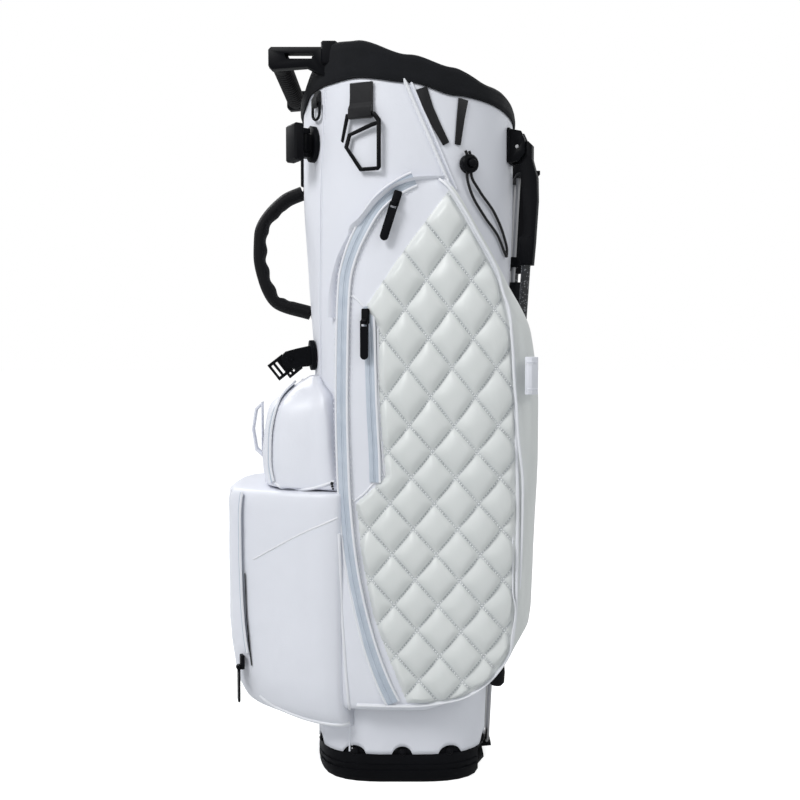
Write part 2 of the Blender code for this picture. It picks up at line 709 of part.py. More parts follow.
def pocket_solid(name, columns, rows, material, side, back, skin, rise):
    """Solid between the wall and a swelling outer face. Its back is faceted, so it stands off by
    as much as a facet dips towards the round wall."""
    widest = max(after - before for (before, _), (after, _) in zip(columns, columns[1:]))
    foot = rows[0][0]
    inner = []
    outer = []
    for z, first, last, swell in rows:
        fade = max(0.0, 1 - (z - foot) / RISE_FADE)
        heights = [z + fade * linear(rise, share) for share, _ in columns]
        dip = DIP_ROOM * TOP_WIDTH / 2 * (1 - math.cos(math.radians((last - first) * widest / 2)))
        angles = [side * (first + (last - first) * share) for share, _ in columns]
        inner.append([reach(angle, height, back + dip) for angle, height in zip(angles, heights)])
        outer.append([reach(angle, height, skin + depth * swell)
                      for angle, height, (_, depth) in zip(angles, heights, columns)])
    return padded_patch(name, inner, outer, material)


def pocket(name, columns, rows, material, side=NEAR, rise=((0.0, 0.0), (1.0, 0.0))):
    """Hollow pocket that the tube's wall closes behind. Columns are (share of width, depth), rows are
    (height, first angle, last angle, share of depth), and rise lifts the lower edge."""
    made = pocket_solid(name, columns, rows, material, side, POCKET_GAP, POCKET_GAP + 0.004, rise)
    middle = (rows[0][0] + rows[-1][0]) / 2
    inset = math.degrees(POCKET_WALL / (TOP_DEPTH / 2))
    smaller = [(z + math.copysign(POCKET_WALL, middle - z), first + inset, last - inset, swell)
               for z, first, last, swell in rows]
    hollow = pocket_solid(name + "_hollow", columns, smaller, material, side, -0.006,
                          POCKET_GAP + 0.004 - POCKET_WALL, rise)
    return cut(made, hollow)


BALL_ANGLE = 58.8
SEAM_DEPTH = 0.024
GARMENT_START = 59.4
GARMENT_END = 149.0


def ball_columns(depth):
    """Plan of a front pocket that is as deep as given at the middle."""
    half = ((0.0, SEAM_DEPTH / BALL_POCKET_DEPTH), (0.12, 0.38), (0.22, 0.57), (0.31, 0.85), (0.345, 0.95),
            (0.42, 0.975), (0.5, 0.965))
    whole = list(half) + [(1 - share, deep) for share, deep in reversed(half[:-1])]
    return [(share, deep * depth) for share, deep in whole]


def garment_columns():
    """Plan of a garment pocket: nearly flat on the side of the bag, with a deep back corner."""
    corner = GARMENT_CORNER
    return [(0.0, 0.020), (0.14, 0.017), (0.33, 0.0175), (0.50, 0.020), (0.67, 0.031), (0.785, 0.044),
            (0.87, corner - 0.004), (0.905, corner), (0.955, corner), (1.0, corner - 0.006)]


def pocket_parts():
    top, bottom = BALL_POCKET_TOP, BALL_POCKET_BOTTOM
    rows = [(bottom, -BALL_ANGLE, BALL_ANGLE, 0.24), (bottom + 0.007, -BALL_ANGLE, BALL_ANGLE, 0.54),
            (bottom + 0.024, -BALL_ANGLE, BALL_ANGLE, 0.80), (bottom + 0.060, -BALL_ANGLE, BALL_ANGLE, 0.95),
            (bottom + 0.130, -BALL_ANGLE, BALL_ANGLE, 1.0), (top - 0.020, -BALL_ANGLE, BALL_ANGLE, 1.0),
            (top - 0.006, -BALL_ANGLE, BALL_ANGLE, 0.97), (top, -BALL_ANGLE, BALL_ANGLE, 0.90)]
    pocket("ball_pocket", ball_columns(BALL_POCKET_DEPTH), rows, WHITE_LEATHER)

    low, high = top + POCKET_GAP, UPPER_POCKET_TOP
    wide, narrow = BALL_ANGLE - 1.0, BALL_ANGLE - 18.0
    rows = [(low, -wide, wide, 1.0), (low + 0.035, -wide, wide, 1.02), (high - 0.055, -wide, wide, 0.94),
            (high - 0.038, -wide, wide, 0.86), (high - 0.024, -wide + 6, wide - 6, 0.62),
            (high - 0.010, -narrow, narrow, 0.28), (high, -narrow + 8, narrow - 8, 0.05)]
    columns = [(0.0, 0.012), (0.08, 0.022), (0.20, 0.050), (0.28, UPPER_POCKET_DEPTH * 0.96),
               (0.38, UPPER_POCKET_DEPTH), (0.5, UPPER_POCKET_DEPTH)]
    columns += [(1 - share, depth) for share, depth in reversed(columns[:-1])]
    pocket("upper_front_pocket", columns, rows, WHITE_LEATHER)

    columns = garment_columns()
    start, end, foot = GARMENT_START, GARMENT_END, GARMENT_BOTTOM
    head = BAG_HEIGHT - GARMENT_DROP
    rows = [(foot, start, end, 0.62), (foot + 0.008, start, end, 0.82), (foot + 0.035, start, end, 0.96),
            (foot + 0.090, start, end, 1.0), (top, start, end, 1.0), (top + 0.10, start, end, 0.93),
            (head - 0.175, start, end - 3, 0.74), (head - 0.115, start + 7, end - 14, 0.42),
            (head - 0.060, start + 13, end - 26, 0.22), (head - 0.015, start + 19, end - 37, 0.10),
            (head, start + 23, end - 42, 0.0)]
    for side, word in SIDES:
        pocket("garment_pocket_" + word, columns, rows, QUILTED_LEATHER, side, GARMENT_RISE)

    inner = []
    outer = []
    half = math.degrees(math.asin(0.034 / (TOP_DEPTH / 2)))
    shares = (-1.0, -0.88, -0.76, -0.38, 0.0, 0.38, 0.76, 0.88, 1.0)
    hollow = {-1.0: 0.0, -0.88: 0.0, -0.76: 0.0125, 0.76: 0.0125, 0.88: 0.0, 1.0: 0.0}
    for z, swell in ((0.330, 0.75), (0.345, 1.0), (0.43, 1.0), (0.52, 1.0), (0.575, 1.0), (0.590, 0.75)):
        place = z - 0.855 + BAG_HEIGHT
        inner.append([reach(180 + half * s, place, POCKET_GAP + hollow.get(s, 0.0125)) for s in shares])
        outer.append([reach(180 + half * s, place, POCKET_GAP + 0.008 + 0.015 * swell * (1 - abs(s) ** 6))
                      for s in shares])
    padded_patch("hip_pad", inner, outer, CUFF_FABRIC)


def pull_loop():
    """Cloth pull tab on the front of the upper pocket, sewn at its top and bottom."""
    top, bottom = UPPER_POCKET_TOP - 0.034, BALL_POCKET_TOP + 0.030
    face = reach(0, (top + bottom) / 2, POCKET_GAP + 0.004 + UPPER_POCKET_DEPTH * 1.03).x - 0.001
    stand, thick, height = 0.013, 0.0018, top - bottom
    outer = [(0, 0), (-stand * 0.7, height * 0.12), (-stand, height * 0.5), (-stand * 0.7, height * 0.88),
             (0, height)]
    inner = [(-thick * 0.6, thick * 2.5), (-stand * 0.7 + thick, height * 0.16),
             (-stand + thick, height * 0.5), (-stand * 0.7 + thick, height * 0.84),
             (-thick * 0.6, height - thick * 2.5)]
    outline = [(x, z) for x, z in outer]
    hole = [(x, z) for x, z in inner]
    plate("pocket_pull_loop", [outline, hole], 0.016, WHITE_LEATHER, xz_frame((face, 0, bottom)))


# ---------------------------------------------------------------- rings and webbing on the side

def hanging_ring(name, angle, z, strap_width, strap_length, bar, ring_outlines, ring_thick):
    """Webbing tab with a stitched loop at its foot, and the ring whose top bar lies in the loop."""
    ply = 0.0013
    room = 0.0008
    depth = bar + 2 * (ply + room)
    frame = wall_frame(angle, z, GAP * 3)
    half_bar = bar / 2 + room
    middle = depth / 2
    outline = [(0, strap_length), (0, -half_bar), (middle - half_bar * 0.6, -half_bar - ply),
               (middle + half_bar * 0.6, -half_bar - ply), (depth, -half_bar), (depth, half_bar + 0.004),
               (2 * ply, half_bar + 0.011), (2 * ply, strap_length)]
    hole = [(middle - half_bar, -half_bar), (middle + half_bar, -half_bar), (middle + half_bar, half_bar),
            (middle - half_bar, half_bar)]
    plate(name + "_strap", [outline, hole], strap_width, WEBBING, side_frame(frame))
    ring_frame = frame @ Matrix.Translation((middle, 0, 0))
    plate(name, ring_outlines, ring_thick, BLACK_PLASTIC, face_frame(ring_frame))
    return ring_frame.translation


TOWEL_ANGLE = 66.3
TOWEL_DROP = 0.087
RING_ANGLE = 38.5
RING_DROP = 0.066


def ring_parts():
    c_shape = [(-0.0235, -0.0275), (-0.0210, -0.0295), (-0.0142, -0.0020), (0.0142, -0.0020),
               (0.0195, -0.0085), (0.0120, -0.0100), (-0.0150, -0.0200), (-0.0195, -0.0345),
               (-0.0010, -0.0620), (0.0215, -0.0620), (0.0240, -0.0590), (0.0240, -0.0065),
               (0.0175, 0.0020), (-0.0175, 0.0020)]
    opening = [(-0.0115, -0.0225), (0.0125, -0.0145), (0.0195, -0.0125), (0.0195, -0.0580),
               (0.0015, -0.0580), (-0.0150, -0.0345)]
    hanging_ring("towel_ring", TOWEL_ANGLE, BAG_HEIGHT - TOWEL_DROP, 0.0272, 0.036, 0.004,
                 [c_shape, opening], 0.003)
    half, wire = 0.0085, 0.0026
    outside = [(-half, 0.0013), (half, 0.0013), (half, -0.010)] + arc(half, -20, -160, 6, (0, -0.010))
    outside += [(-half, -0.010)]
    small = half - wire
    inside = [(-small, -0.0013), (small, -0.0013), (small, -0.010)] + arc(small, -20, -160, 6, (0, -0.010))
    inside += [(-small, -0.010)]
    hanging_ring("d_ring", RING_ANGLE, BAG_HEIGHT - RING_DROP, 0.0105, 0.015, 0.0026, [outside, inside], 0.0026)


CORD_RADIUS = 0.0015
LOCK_ANGLE = 119.6
LOCK_DROP = 0.140


def webbing_strip(name, path, width, thick):
    """Strip of webbing sewn on the wall, along a path of (angle, height)."""
    inner = []
    outer = []
    for i, (angle, z) in enumerate(path):
        before, after = path[max(i - 1, 0)], path[min(i + 1, len(path) - 1)]
        along = (reach(after[0], after[1]) - reach(before[0], before[1])).normalized()
        across = along.cross(outward(angle, z)).normalized()
        middle = reach(angle, z)
        wide = width[0] + (width[1] - width[0]) * i / (len(path) - 1)
        rows = ([], [])
        for share in (-0.5, 0.0, 0.5):
            place = middle + across * wide * share
            lean = tube_size(place.z)[2]
            turn = math.degrees(math.atan2(-place.y, lean - place.x))
            rows[0].append(reach(turn, place.z, GAP * 2))
            rows[1].append(reach(turn, place.z, GAP * 2 + thick))
        inner.append(rows[0])
        outer.append(rows[1])
    padded_patch(name, inner, outer, WEBBING)


def cord_parts():
    """Elastic cord in a narrow V, held by a spring cord lock that hangs on two webbing tapes."""
    foot_front, foot_rear = cuff_foot(96) - 0.005, cuff_foot(117.5) - 0.004
    end = BAG_HEIGHT - 0.121
    webbing_strip("cord_tape_front", [(96, foot_front), (99.5, foot_front - 0.022), (104, end + 0.020),
                                      (108.5, end + 0.002)], (0.013, 0.008), 0.0015)
    webbing_strip("cord_tape_rear", [(117.5, foot_rear), (116, foot_rear - 0.022), (114.5, end + 0.002)],
                  (0.012, 0.007), 0.0015)

    lock_z = BAG_HEIGHT - LOCK_DROP
    frame = wall_frame(LOCK_ANGLE, lock_z, 0.0012)
    lock = turned("cord_lock", [(0, 0.0105), (0.0085, 0.0105), (0.0105, 0.0085), (0.0105, 0.0012),
                                (0.0095, 0.0), (0, 0.0)], BLACK_PLASTIC,
                  frame @ Matrix.Rotation(math.radians(90), 4, "Y"), steps=20)
    tunnel = block("lock_tunnel", (0.0042, 0.0112, 0.060), (0.0042, 0, 0), BLACK_PLASTIC, frame, group=CUTTERS)
    cut(lock, tunnel)
    well = cylinder("lock_well", 0.0050, frame @ Vector((0.0058, 0, 0)), frame @ Vector((0.020, 0, 0)),
                    BLACK_PLASTIC, sides=12, group=CUTTERS)
    cut(lock, well)
    turned("cord_lock_button", [(0, 0.0058), (0.0036, 0.0058), (0.0046, 0.0048), (0.0046, 0.0), (0, 0.0)],
           BLACK_PLASTIC, frame @ Matrix.Translation((0.0088, 0, 0)) @ Matrix.Rotation(math.radians(90), 4, "Y"),
           steps=12)

    lift = 0.0012 + 0.0042
    run = [(117.6, 0.1255, lift), (118.5, 0.130, lift), (118.7, LOCK_DROP, lift), (118.5, 0.152, lift),
           (121.0, 0.170, 0.004), (129.5, 0.196, 0.003), (139.5, 0.216, 0.003), (146.5, 0.234, 0.003),
           (148.9, 0.238, 0.003), (149.2, 0.231, 0.003), (145.0, 0.214, 0.003), (136.5, 0.190, 0.003),
           (126.0, 0.168, 0.004), (120.9, 0.152, lift), (120.5, LOCK_DROP, lift), (120.3, 0.130, lift),
           (119.6, 0.1255, lift)]
    route = smooth_route([reach(angle, BAG_HEIGHT - drop, out) for angle, drop, out in run], per_span=3)
    cord("bungee_cord", route, CORD_RADIUS, WEBBING)


# ---------------------------------------------------------------- zip sliders and their tabs

TAB_LENGTH = 0.042
TAB_HINGE_DROP = 0.006


def zip_pull(name, place, out_direction, down_direction):
    """Zip slider and its moulded tab, hinged on the slider's bridge."""
    x_axis = Vector(out_direction).normalized()
    z_axis = -(Vector(down_direction) - x_axis * x_axis.dot(Vector(down_direction))).normalized()
    y_axis = z_axis.cross(x_axis)
    frame = Matrix.Translation(place) @ Matrix((x_axis, y_axis, z_axis)).transposed().to_4x4()
    slider = block(name + "_slider", (0.0045, 0.009, 0.017), (0.00225, 0, 0), BLACK_PLASTIC, frame, bevel=0.001)
    crown = cylinder(name + "_crown", 0.0031, frame @ Vector((0.0064, -0.0027, -TAB_HINGE_DROP)),
                     frame @ Vector((0.0064, 0.0027, -TAB_HINGE_DROP)), BLACK_PLASTIC, sides=12, group=CUTTERS)
    join(slider, crown)
    hinge = Vector((0.0064, 0, -TAB_HINGE_DROP))
    hole = cylinder(name + "_crown_hole", 0.0019, frame @ Vector((0.0064, -0.01, -TAB_HINGE_DROP)),
                    frame @ Vector((0.0064, 0.01, -TAB_HINGE_DROP)), BLACK_PLASTIC, sides=12, group=CUTTERS)
    cut(slider, hole)
    half, slot = 0.0048, 0.0033
    outline = [(-half, 0.0011), (half, 0.0011), (half, -TAB_LENGTH + 0.004)]
    outline += arc(half, -10, -170, 7, (0, -TAB_LENGTH + 0.0045)) + [(-half, -TAB_LENGTH + 0.004)]
    eye = [(-slot, -0.0011), (slot, -0.0011), (slot, -0.0054), (-slot, -0.0054)]
    tab_frame = frame @ Matrix.Translation(hinge)
    plate(name + "_tab", [outline, eye], 0.0020, RUBBER, face_frame(tab_frame))
    return frame


def face_out(columns, angle, first, last, swell):
    """How far a pocket's face stands off the wall at an angle."""
    share = (angle - first) / (last - first)
    return POCKET_GAP + 0.004 + linear(columns, share) * swell


def zip_routes():
    """Start and end of the straight stretch that each zip slider runs on."""
    lift = 0.0014
    head = BAG_HEIGHT - GARMENT_DROP
    low = BALL_POCKET_BOTTOM + 0.072
    ball = face_out(ball_columns(BALL_POCKET_DEPTH), 23.5, -BALL_ANGLE, BALL_ANGLE, 1.0) + lift
    wide = face_out(garment_columns(), 72, GARMENT_START, GARMENT_END, 1.0)
    narrow = face_out(garment_columns(), 72, GARMENT_START, GARMENT_END, 0.66)
    return {
        "garment_zip_near": (reach(84, head - 0.026, 0.0095), reach(79, head - 0.062, 0.0110)),
        "garment_zip_far": (reach(-84, head - 0.026, 0.0095), reach(-79, head - 0.062, 0.0110)),
        "valuables_zip": (reach(69.6, head - 0.155, narrow + lift), reach(76, head - 0.305, wide + lift)),
        "ball_zip": (reach(23.5, low, ball), reach(23.5, low + 0.150, ball + 0.0024)),
    }


def zip_parts():
    """The sliders at rest, each with a tab that hangs from it."""
    for name, (start, end) in zip_routes().items():
        radial = Vector((start.x - TOP_LEAN, start.y, 0)).normalized()
        down = (end - start).normalized() if name.startswith("garment") else Vector((0, 0, -1))
        zip_pull(name, start, radial, down)


# ---------------------------------------------------------------- legs and their drive

def leg_frame(side):
    """Wall frame at the leg's pivot height."""
    return wall_frame(LEG_ANGLE * side, BAG_HEIGHT - LEG_PIVOT_DROP)


def leg_foot_place(side):
    """Middle of the leg's lower end, in the leg's wall frame."""
    z = BAG_HEIGHT - LEG_PIVOT_DROP - LEG_LENGTH
    return Vector(((leg_frame(side).inverted() @ reach(LEG_ANGLE * side, z, LEG_FOOT_OUT)).x, 0, -LEG_LENGTH))


def leg_parts(side, word):
    """Bracket, pivot pin, connector, tube and foot of one leg."""
    frame = leg_frame(side)
    pivot = Vector((LEG_PIVOT_OUT, 0, 0))
    cheek_in, cheek_out = 0.0065, 0.0105
    cheeks = [(GAP, 0.022), (0.016, 0.018), (0.0205, 0.008), (0.0205, -0.008), (0.014, -0.016),
              (0.003, -0.018), (GAP, -0.018)]
    back = block("leg_bracket_" + word, (0.0030, 0.028, 0.040), (GAP + 0.0015, 0, 0.002), BLACK_PLASTIC,
                 frame)
    for end, label in ((1, "inner"), (-1, "outer")):
        middle = end * (cheek_in + cheek_out) / 2
        cheek = plate("cheek_" + label + "_" + word, [cheeks], cheek_out - cheek_in, BLACK_PLASTIC,
                      side_frame(frame @ Matrix.Translation((0, middle, 0))), CUTTERS)
        join(back, cheek)
    pin_hole = cylinder("leg_pin_hole_" + word, PIN_RADIUS + GAP, frame @ (pivot - Vector((0, 0.03, 0))),
                        frame @ (pivot + Vector((0, 0.03, 0))), BLACK_PLASTIC, group=CUTTERS)
    cut(back, pin_hole)
    cylinder("leg_pin_" + word, PIN_RADIUS, frame @ (pivot - Vector((0, cheek_out + 0.001, 0))),
             frame @ (pivot + Vector((0, cheek_out + 0.001, 0))), STEEL)

    eye = arc(0.0075, 150, 250, 6, (LEG_PIVOT_OUT, 0))
    profile = eye + [(0.0135, -0.022), (0.0155, -0.036), (0.0175, -0.062), (0.0185, -0.100),
                     (0.0145, -0.106), (0.0138, -0.138), (0.0292, -0.138), (0.0315, -0.111),
                     (0.0345, -0.063), (0.0340, -0.036), (0.0280, -0.014), (0.0280, 0.002),
                     (0.0240, 0.006), (0.0140, 0.0075)]
    eye_half = cheek_in - GAP
    connector = plate("leg_connector_" + word, [profile], 2 * eye_half, BLACK_PLASTIC, side_frame(frame))
    socket = block("leg_socket_" + word, (0.0152, 0.0152, 0.034), (0.0215, 0, -0.121), BLACK_PLASTIC, frame,
                   bevel=0.002, group=CUTTERS)
    join(connector, socket)
    peg_place = pivot + Vector((PEG_OUT, 0, -PEG_DROP))
    peg = cylinder("leg_peg_" + word, PEG_RADIUS, frame @ peg_place,
                   frame @ (peg_place + Vector((0, side * 0.0265, 0))), BLACK_PLASTIC, sides=12, group=CUTTERS)
    join(connector, peg)
    cut(connector, pin_hole)
    top = Vector((0.0226, 0, -0.108))
    foot = leg_foot_place(side)
    along = (foot - top).normalized()
    bore = cylinder("leg_bore_" + word, LEG_RADIUS + GAP, frame @ top, frame @ foot, BLACK_PLASTIC,
                    group=CUTTERS)
    cut(connector, bore)
    tube_top = top + along * 0.001
    tube_end = foot - along * 0.006
    cylinder("leg_tube_" + word, LEG_RADIUS, frame @ tube_top, frame @ tube_end, CARBON)
    inner = LEG_RADIUS + GAP
    profile = [(0, -0.0005), (inner, -0.0005), (inner, FOOT_LENGTH - 0.006), (inner + 0.0015, FOOT_LENGTH - 0.006),
               (FOOT_RADIUS, 0.010), (FOOT_RADIUS, -0.002), (FOOT_RADIUS * 0.7, -0.006), (0, -0.007)]
    turn = Vector((0, 0, 1)).rotation_difference(-along).to_matrix().to_4x4()
    turned("leg_foot_" + word, profile, RUBBER, frame @ Matrix.Translation(foot) @ turn)


def rod_x(z):
    """Middle of the drive rods at a height: a straight line that clears the wall."""
    low_x = BASE_WIDTH / 2 + BASE_LEAN + ROD_RADIUS + 0.001
    low_z = rod_foot()
    shoulder = BAG_HEIGHT - STATIONS[2][0]
    high_x = reach(180, shoulder).x + ROD_RADIUS + 0.0005
    return low_x + (high_x - low_x) * (z - low_z) / (shoulder - low_z)


def rod_foot():
    """Height of the rod's cross piece, which rests on the flap's tongue."""
    return flap_top(BASE_WIDTH / 2 + BASE_LEAN + 0.009) + ROD_RADIUS + GAP * 2


def drive_parts():
    """Bent steel rod up the back, and the yoke on it that lifts the pegs of both legs."""
    yoke_top = BAG_HEIGHT - LEG_PIVOT_DROP - PEG_DROP - PEG_RADIUS - YOKE_GAP
    yoke_foot = yoke_top - YOKE_THICK
    low = rod_foot()
    end = yoke_foot - GAP
    side = [(rod_x(low), ROD_SPREAD * 0.45, low), (rod_x(low), ROD_SPREAD * 0.82, low + 0.0015),
            (rod_x(low + 0.006), ROD_SPREAD * 0.97, low + 0.006)]
    straight = [low + 0.014, low + 0.3, end]
    side += [(rod_x(z), ROD_SPREAD, z) for z in straight]
    route = [Vector((x, -y, z)) for x, y, z in reversed(side)] + [Vector(point) for point in side]
    cord("drive_rod", route, ROD_RADIUS, STEEL)

    inner = rod_x(end) - 0.0035
    outer = leg_frame(NEAR).translation.x + 0.0375
    plate("drive_yoke", [[(inner, -YOKE_HALF_WIDTH * 0.6), (inner + 0.006, -YOKE_HALF_WIDTH),
                          (outer, -YOKE_HALF_WIDTH), (outer, -YOKE_HALF_WIDTH * 0.72),
                          (inner + 0.012, -YOKE_HALF_WIDTH * 0.4), (inner + 0.012, YOKE_HALF_WIDTH * 0.4),
                          (outer, YOKE_HALF_WIDTH * 0.72), (outer, YOKE_HALF_WIDTH),
                          (inner + 0.006, YOKE_HALF_WIDTH), (inner, YOKE_HALF_WIDTH * 0.6)]],
          YOKE_THICK, BLACK_PLASTIC, Matrix.Translation((0, 0, yoke_top - YOKE_THICK / 2)))

    guide_z = BAG_HEIGHT - 0.125 - YOKE_THICK - 0.11
    guide_foot = BALL_POCKET_BOTTOM + 0.06
    for z, word in ((guide_z, "upper"), (guide_foot, "lower")):
        wall = reach(180, z).x
        far = rod_x(z) + ROD_RADIUS + 0.003
        guide = block("rod_guide_" + word, (far - wall + 0.02, 2 * ROD_SPREAD + 0.012, 0.012),
                      ((far + wall - 0.02) / 2, 0, z), BLACK_PLASTIC)
        cut(guide, core("guide_core_" + word, GAP, z - 0.03, z + 0.03))
        for side_sign, label in ((1, "far"), (-1, "near")):
            ends = [(rod_x(height), side_sign * ROD_SPREAD, height) for height in (z - 0.02, z + 0.02)]
            cut(guide, cylinder("guide_bore_" + word + "_" + label, ROD_RADIUS + 0.0005, ends[0], ends[1],
                                BLACK_PLASTIC, group=CUTTERS))


def leg_lock_loop():
    """Loop of coated cloth on the near pocket's back edge that holds the legs' strap."""
    angle = 137.0
    z = BAG_HEIGHT - 0.376
    place = reach(angle, z, POCKET_GAP + 0.004 + GARMENT_CORNER * 0.93 + 0.0015)
    direction = Vector((0.72, -0.69, 0)).normalized()
    y_axis = Vector((0, 0, 1)).cross(direction)
    frame = Matrix.Translation(place) @ Matrix((direction, y_axis, Vector((0, 0, 1)))).transposed().to_4x4()
    half, deep, thick = 0.009, 0.0075, 0.0016
    outer = [(0, -half), (deep - 0.003, -half), (deep, -half + 0.003), (deep, half - 0.003),
             (deep - 0.003, half), (0, half)]
    hole = [(thick, -half + thick), (deep - 0.0035, -half + thick), (deep - thick, -half + 0.0035),
            (deep - thick, half - 0.0035), (deep - 0.0035, half - thick), (thick, half - thick)]
    plate("leg_strap_loop", [outer, hole], 0.042, WHITE_LEATHER, frame)


base_parts()
tube_parts()
divider_parts()
stay_parts()
lift_handle_parts()
carry_handle()
strap_points()
pocket_parts()
pull_loop()
ring_parts()
cord_parts()
zip_parts()
for leg_side, leg_word in SIDES:
    leg_parts(leg_side, leg_word)
drive_parts()
leg_lock_loop()
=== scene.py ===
import json
import math

import bmesh
import bpy
from mathutils import Matrix, Vector, noise
from mathutils.bvhtree import BVHTree

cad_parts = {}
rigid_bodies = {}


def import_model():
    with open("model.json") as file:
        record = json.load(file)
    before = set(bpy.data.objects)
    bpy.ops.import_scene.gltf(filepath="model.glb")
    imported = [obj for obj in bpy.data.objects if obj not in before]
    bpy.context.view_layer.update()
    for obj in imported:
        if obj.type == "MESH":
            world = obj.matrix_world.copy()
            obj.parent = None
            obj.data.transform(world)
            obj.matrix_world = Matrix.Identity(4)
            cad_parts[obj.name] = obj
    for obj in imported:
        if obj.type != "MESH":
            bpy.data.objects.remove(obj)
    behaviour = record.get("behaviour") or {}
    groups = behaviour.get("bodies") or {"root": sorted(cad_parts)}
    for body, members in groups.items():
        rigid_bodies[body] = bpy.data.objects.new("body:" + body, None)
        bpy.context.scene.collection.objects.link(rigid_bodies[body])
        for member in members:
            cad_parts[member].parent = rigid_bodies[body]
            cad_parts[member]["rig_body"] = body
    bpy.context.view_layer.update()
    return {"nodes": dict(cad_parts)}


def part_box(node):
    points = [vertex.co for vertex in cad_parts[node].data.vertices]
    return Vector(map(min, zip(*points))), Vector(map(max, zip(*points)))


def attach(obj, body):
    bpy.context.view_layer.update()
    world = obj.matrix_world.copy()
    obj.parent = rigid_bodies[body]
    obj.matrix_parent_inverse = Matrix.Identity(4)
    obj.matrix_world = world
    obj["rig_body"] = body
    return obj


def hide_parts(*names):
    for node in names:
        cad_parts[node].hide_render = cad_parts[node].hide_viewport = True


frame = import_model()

# ---------------------------------------------------------------- camera
# A long lens at the bag's mid height, square on to its near side and tipped down a little.
eye = bpy.data.cameras.new("eye")
eye.lens = 42.75
eye.sensor_width = 36
camera = bpy.data.objects.new("eye", eye)
camera.location = (-0.0025, -1.19, 0.502)
camera.rotation_euler = (math.radians(90 - 2.71), 0, 0)
bpy.context.scene.collection.objects.link(camera)
bpy.context.scene.camera = camera
bpy.context.scene.view_settings.view_transform = "Standard"

# ---------------------------------------------------------------- floor and light
# A pale floor that glows a little, as a lit table does, under an even pale sky with four soft lamps
# round the bag, so that every side of it is lit alike and its base fades into the ground.
def bare(name, **settings):
    """New material, its node tree and its shader, with the shader's sockets set by name."""
    made = bpy.data.materials.new(name)
    made.use_nodes = True
    shader = made.node_tree.nodes["Principled BSDF"]
    for key, value in settings.items():
        shader.inputs[key.replace("_", " ")].default_value = value
    return made, made.node_tree, shader


def plain(name, colour, roughness):
    return bare(name, Base_Color=(*colour, 1), Roughness=roughness)[0]


def wire(tree, *runs):
    """Links (node, output, node, input), by name or number."""
    for source, out, target, into in runs:
        tree.links.new(source.outputs[out], target.inputs[into])


bm = bmesh.new()
bmesh.ops.create_circle(bm, cap_ends=True, segments=96, radius=30)
floor_mesh = bpy.data.meshes.new("pale_floor")
bm.to_mesh(floor_mesh)
bm.free()
floor = bpy.data.objects.new("pale_floor", floor_mesh)
floor_finish, floor_tree, floor_shader = bare("pale_floor", Base_Color=(0.62, 0.63, 0.63, 1),
                                              Roughness=0.9, Emission_Color=(1, 1, 1, 1))
floor_seen = floor_tree.nodes.new("ShaderNodeLightPath")
floor_glow = floor_tree.nodes.new("ShaderNodeMath")
floor_glow.operation = "MULTIPLY"
floor_glow.inputs[1].default_value = 0.75
wire(floor_tree, (floor_seen, "Is Camera Ray", floor_glow, 0),
     (floor_glow, 0, floor_shader, "Emission Strength"))
floor_mesh.materials.append(floor_finish)
bpy.context.scene.collection.objects.link(floor)

world = bpy.data.worlds.new("studio")
world.use_nodes = True
sky = world.node_tree
backdrop = sky.nodes["Background"]
backdrop.inputs["Color"].default_value = (1.0, 1.0, 1.0, 1)
backdrop.inputs["Strength"].default_value = 1.0
fill = sky.nodes.new("ShaderNodeBackground")
fill.inputs["Color"].default_value = (0.96, 0.98, 1.0, 1)
fill.inputs["Strength"].default_value = 0.51
seen = sky.nodes.new("ShaderNodeLightPath")
choose = sky.nodes.new("ShaderNodeMixShader")
wire(sky, (seen, "Is Camera Ray", choose, 0), (fill, 0, choose, 1), (backdrop, 0, choose, 2),
     (choose, 0, sky.nodes["World Output"], "Surface"))
bpy.context.scene.world = world
for name, place, size, power, colour in (
        ("key", (-1.3, -1.4, 2.1), 0.8, 33, (1.0, 1.0, 1.0)),
        ("side", (1.5, -1.5, 1.9), 0.8, 7, (1.0, 1.0, 0.97)),
        ("rear_front", (-1.4, 1.4, 2.0), 0.8, 25, (1.0, 1.0, 1.0)),
        ("rear_back", (1.5, 1.4, 2.0), 0.8, 16, (1.0, 1.0, 1.0))):
    lamp = bpy.data.lights.new(name, "AREA")
    lamp.size = size
    lamp.energy = power
    lamp.color = colour
    holder = bpy.data.objects.new(name, lamp)
    holder.location = place
    holder.rotation_euler = (Vector((0, 0, 0.45)) - Vector(place)).to_track_quat("-Z", "Y").to_euler()
    bpy.context.scene.collection.objects.link(holder)


# ---------------------------------------------------------------- outer tube
# The bag's main wall: white coated cloth with a fine pressed grain, sewn into a tube that is nearly
# round at the top and squarer at the base, and riveted over the base cup's skirt.
TUBE_LOW, TUBE_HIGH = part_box("body_shell")
RIM = 0.855  # height of the collar's highest point
CUP_LOW, CUP_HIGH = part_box("base_cup")
TOP_HALF = ((TUBE_HIGH.x - TUBE_LOW.x) / 2, (TUBE_HIGH.y - TUBE_LOW.y) / 2)
TOP_LEAN = (TUBE_HIGH.x + TUBE_LOW.x) / 2
BASE_HALF = ((CUP_HIGH.x - CUP_LOW.x) / 2, (CUP_HIGH.y - CUP_LOW.y) / 2)
TAPER = ((TUBE_LOW.z, 0.0), (0.300, 0.22), (0.490, 0.52), (0.600, 0.84), (0.700, 1.0), (RIM, 1.0))
LEAN = ((TUBE_LOW.z, 0.0), (0.300, 0.004), (0.490, 0.008), (0.600, 0.009), (0.700, TOP_LEAN),
        (RIM, TOP_LEAN))
BASE_SQUARE, TOP_SQUARE = 3.4, 2.2


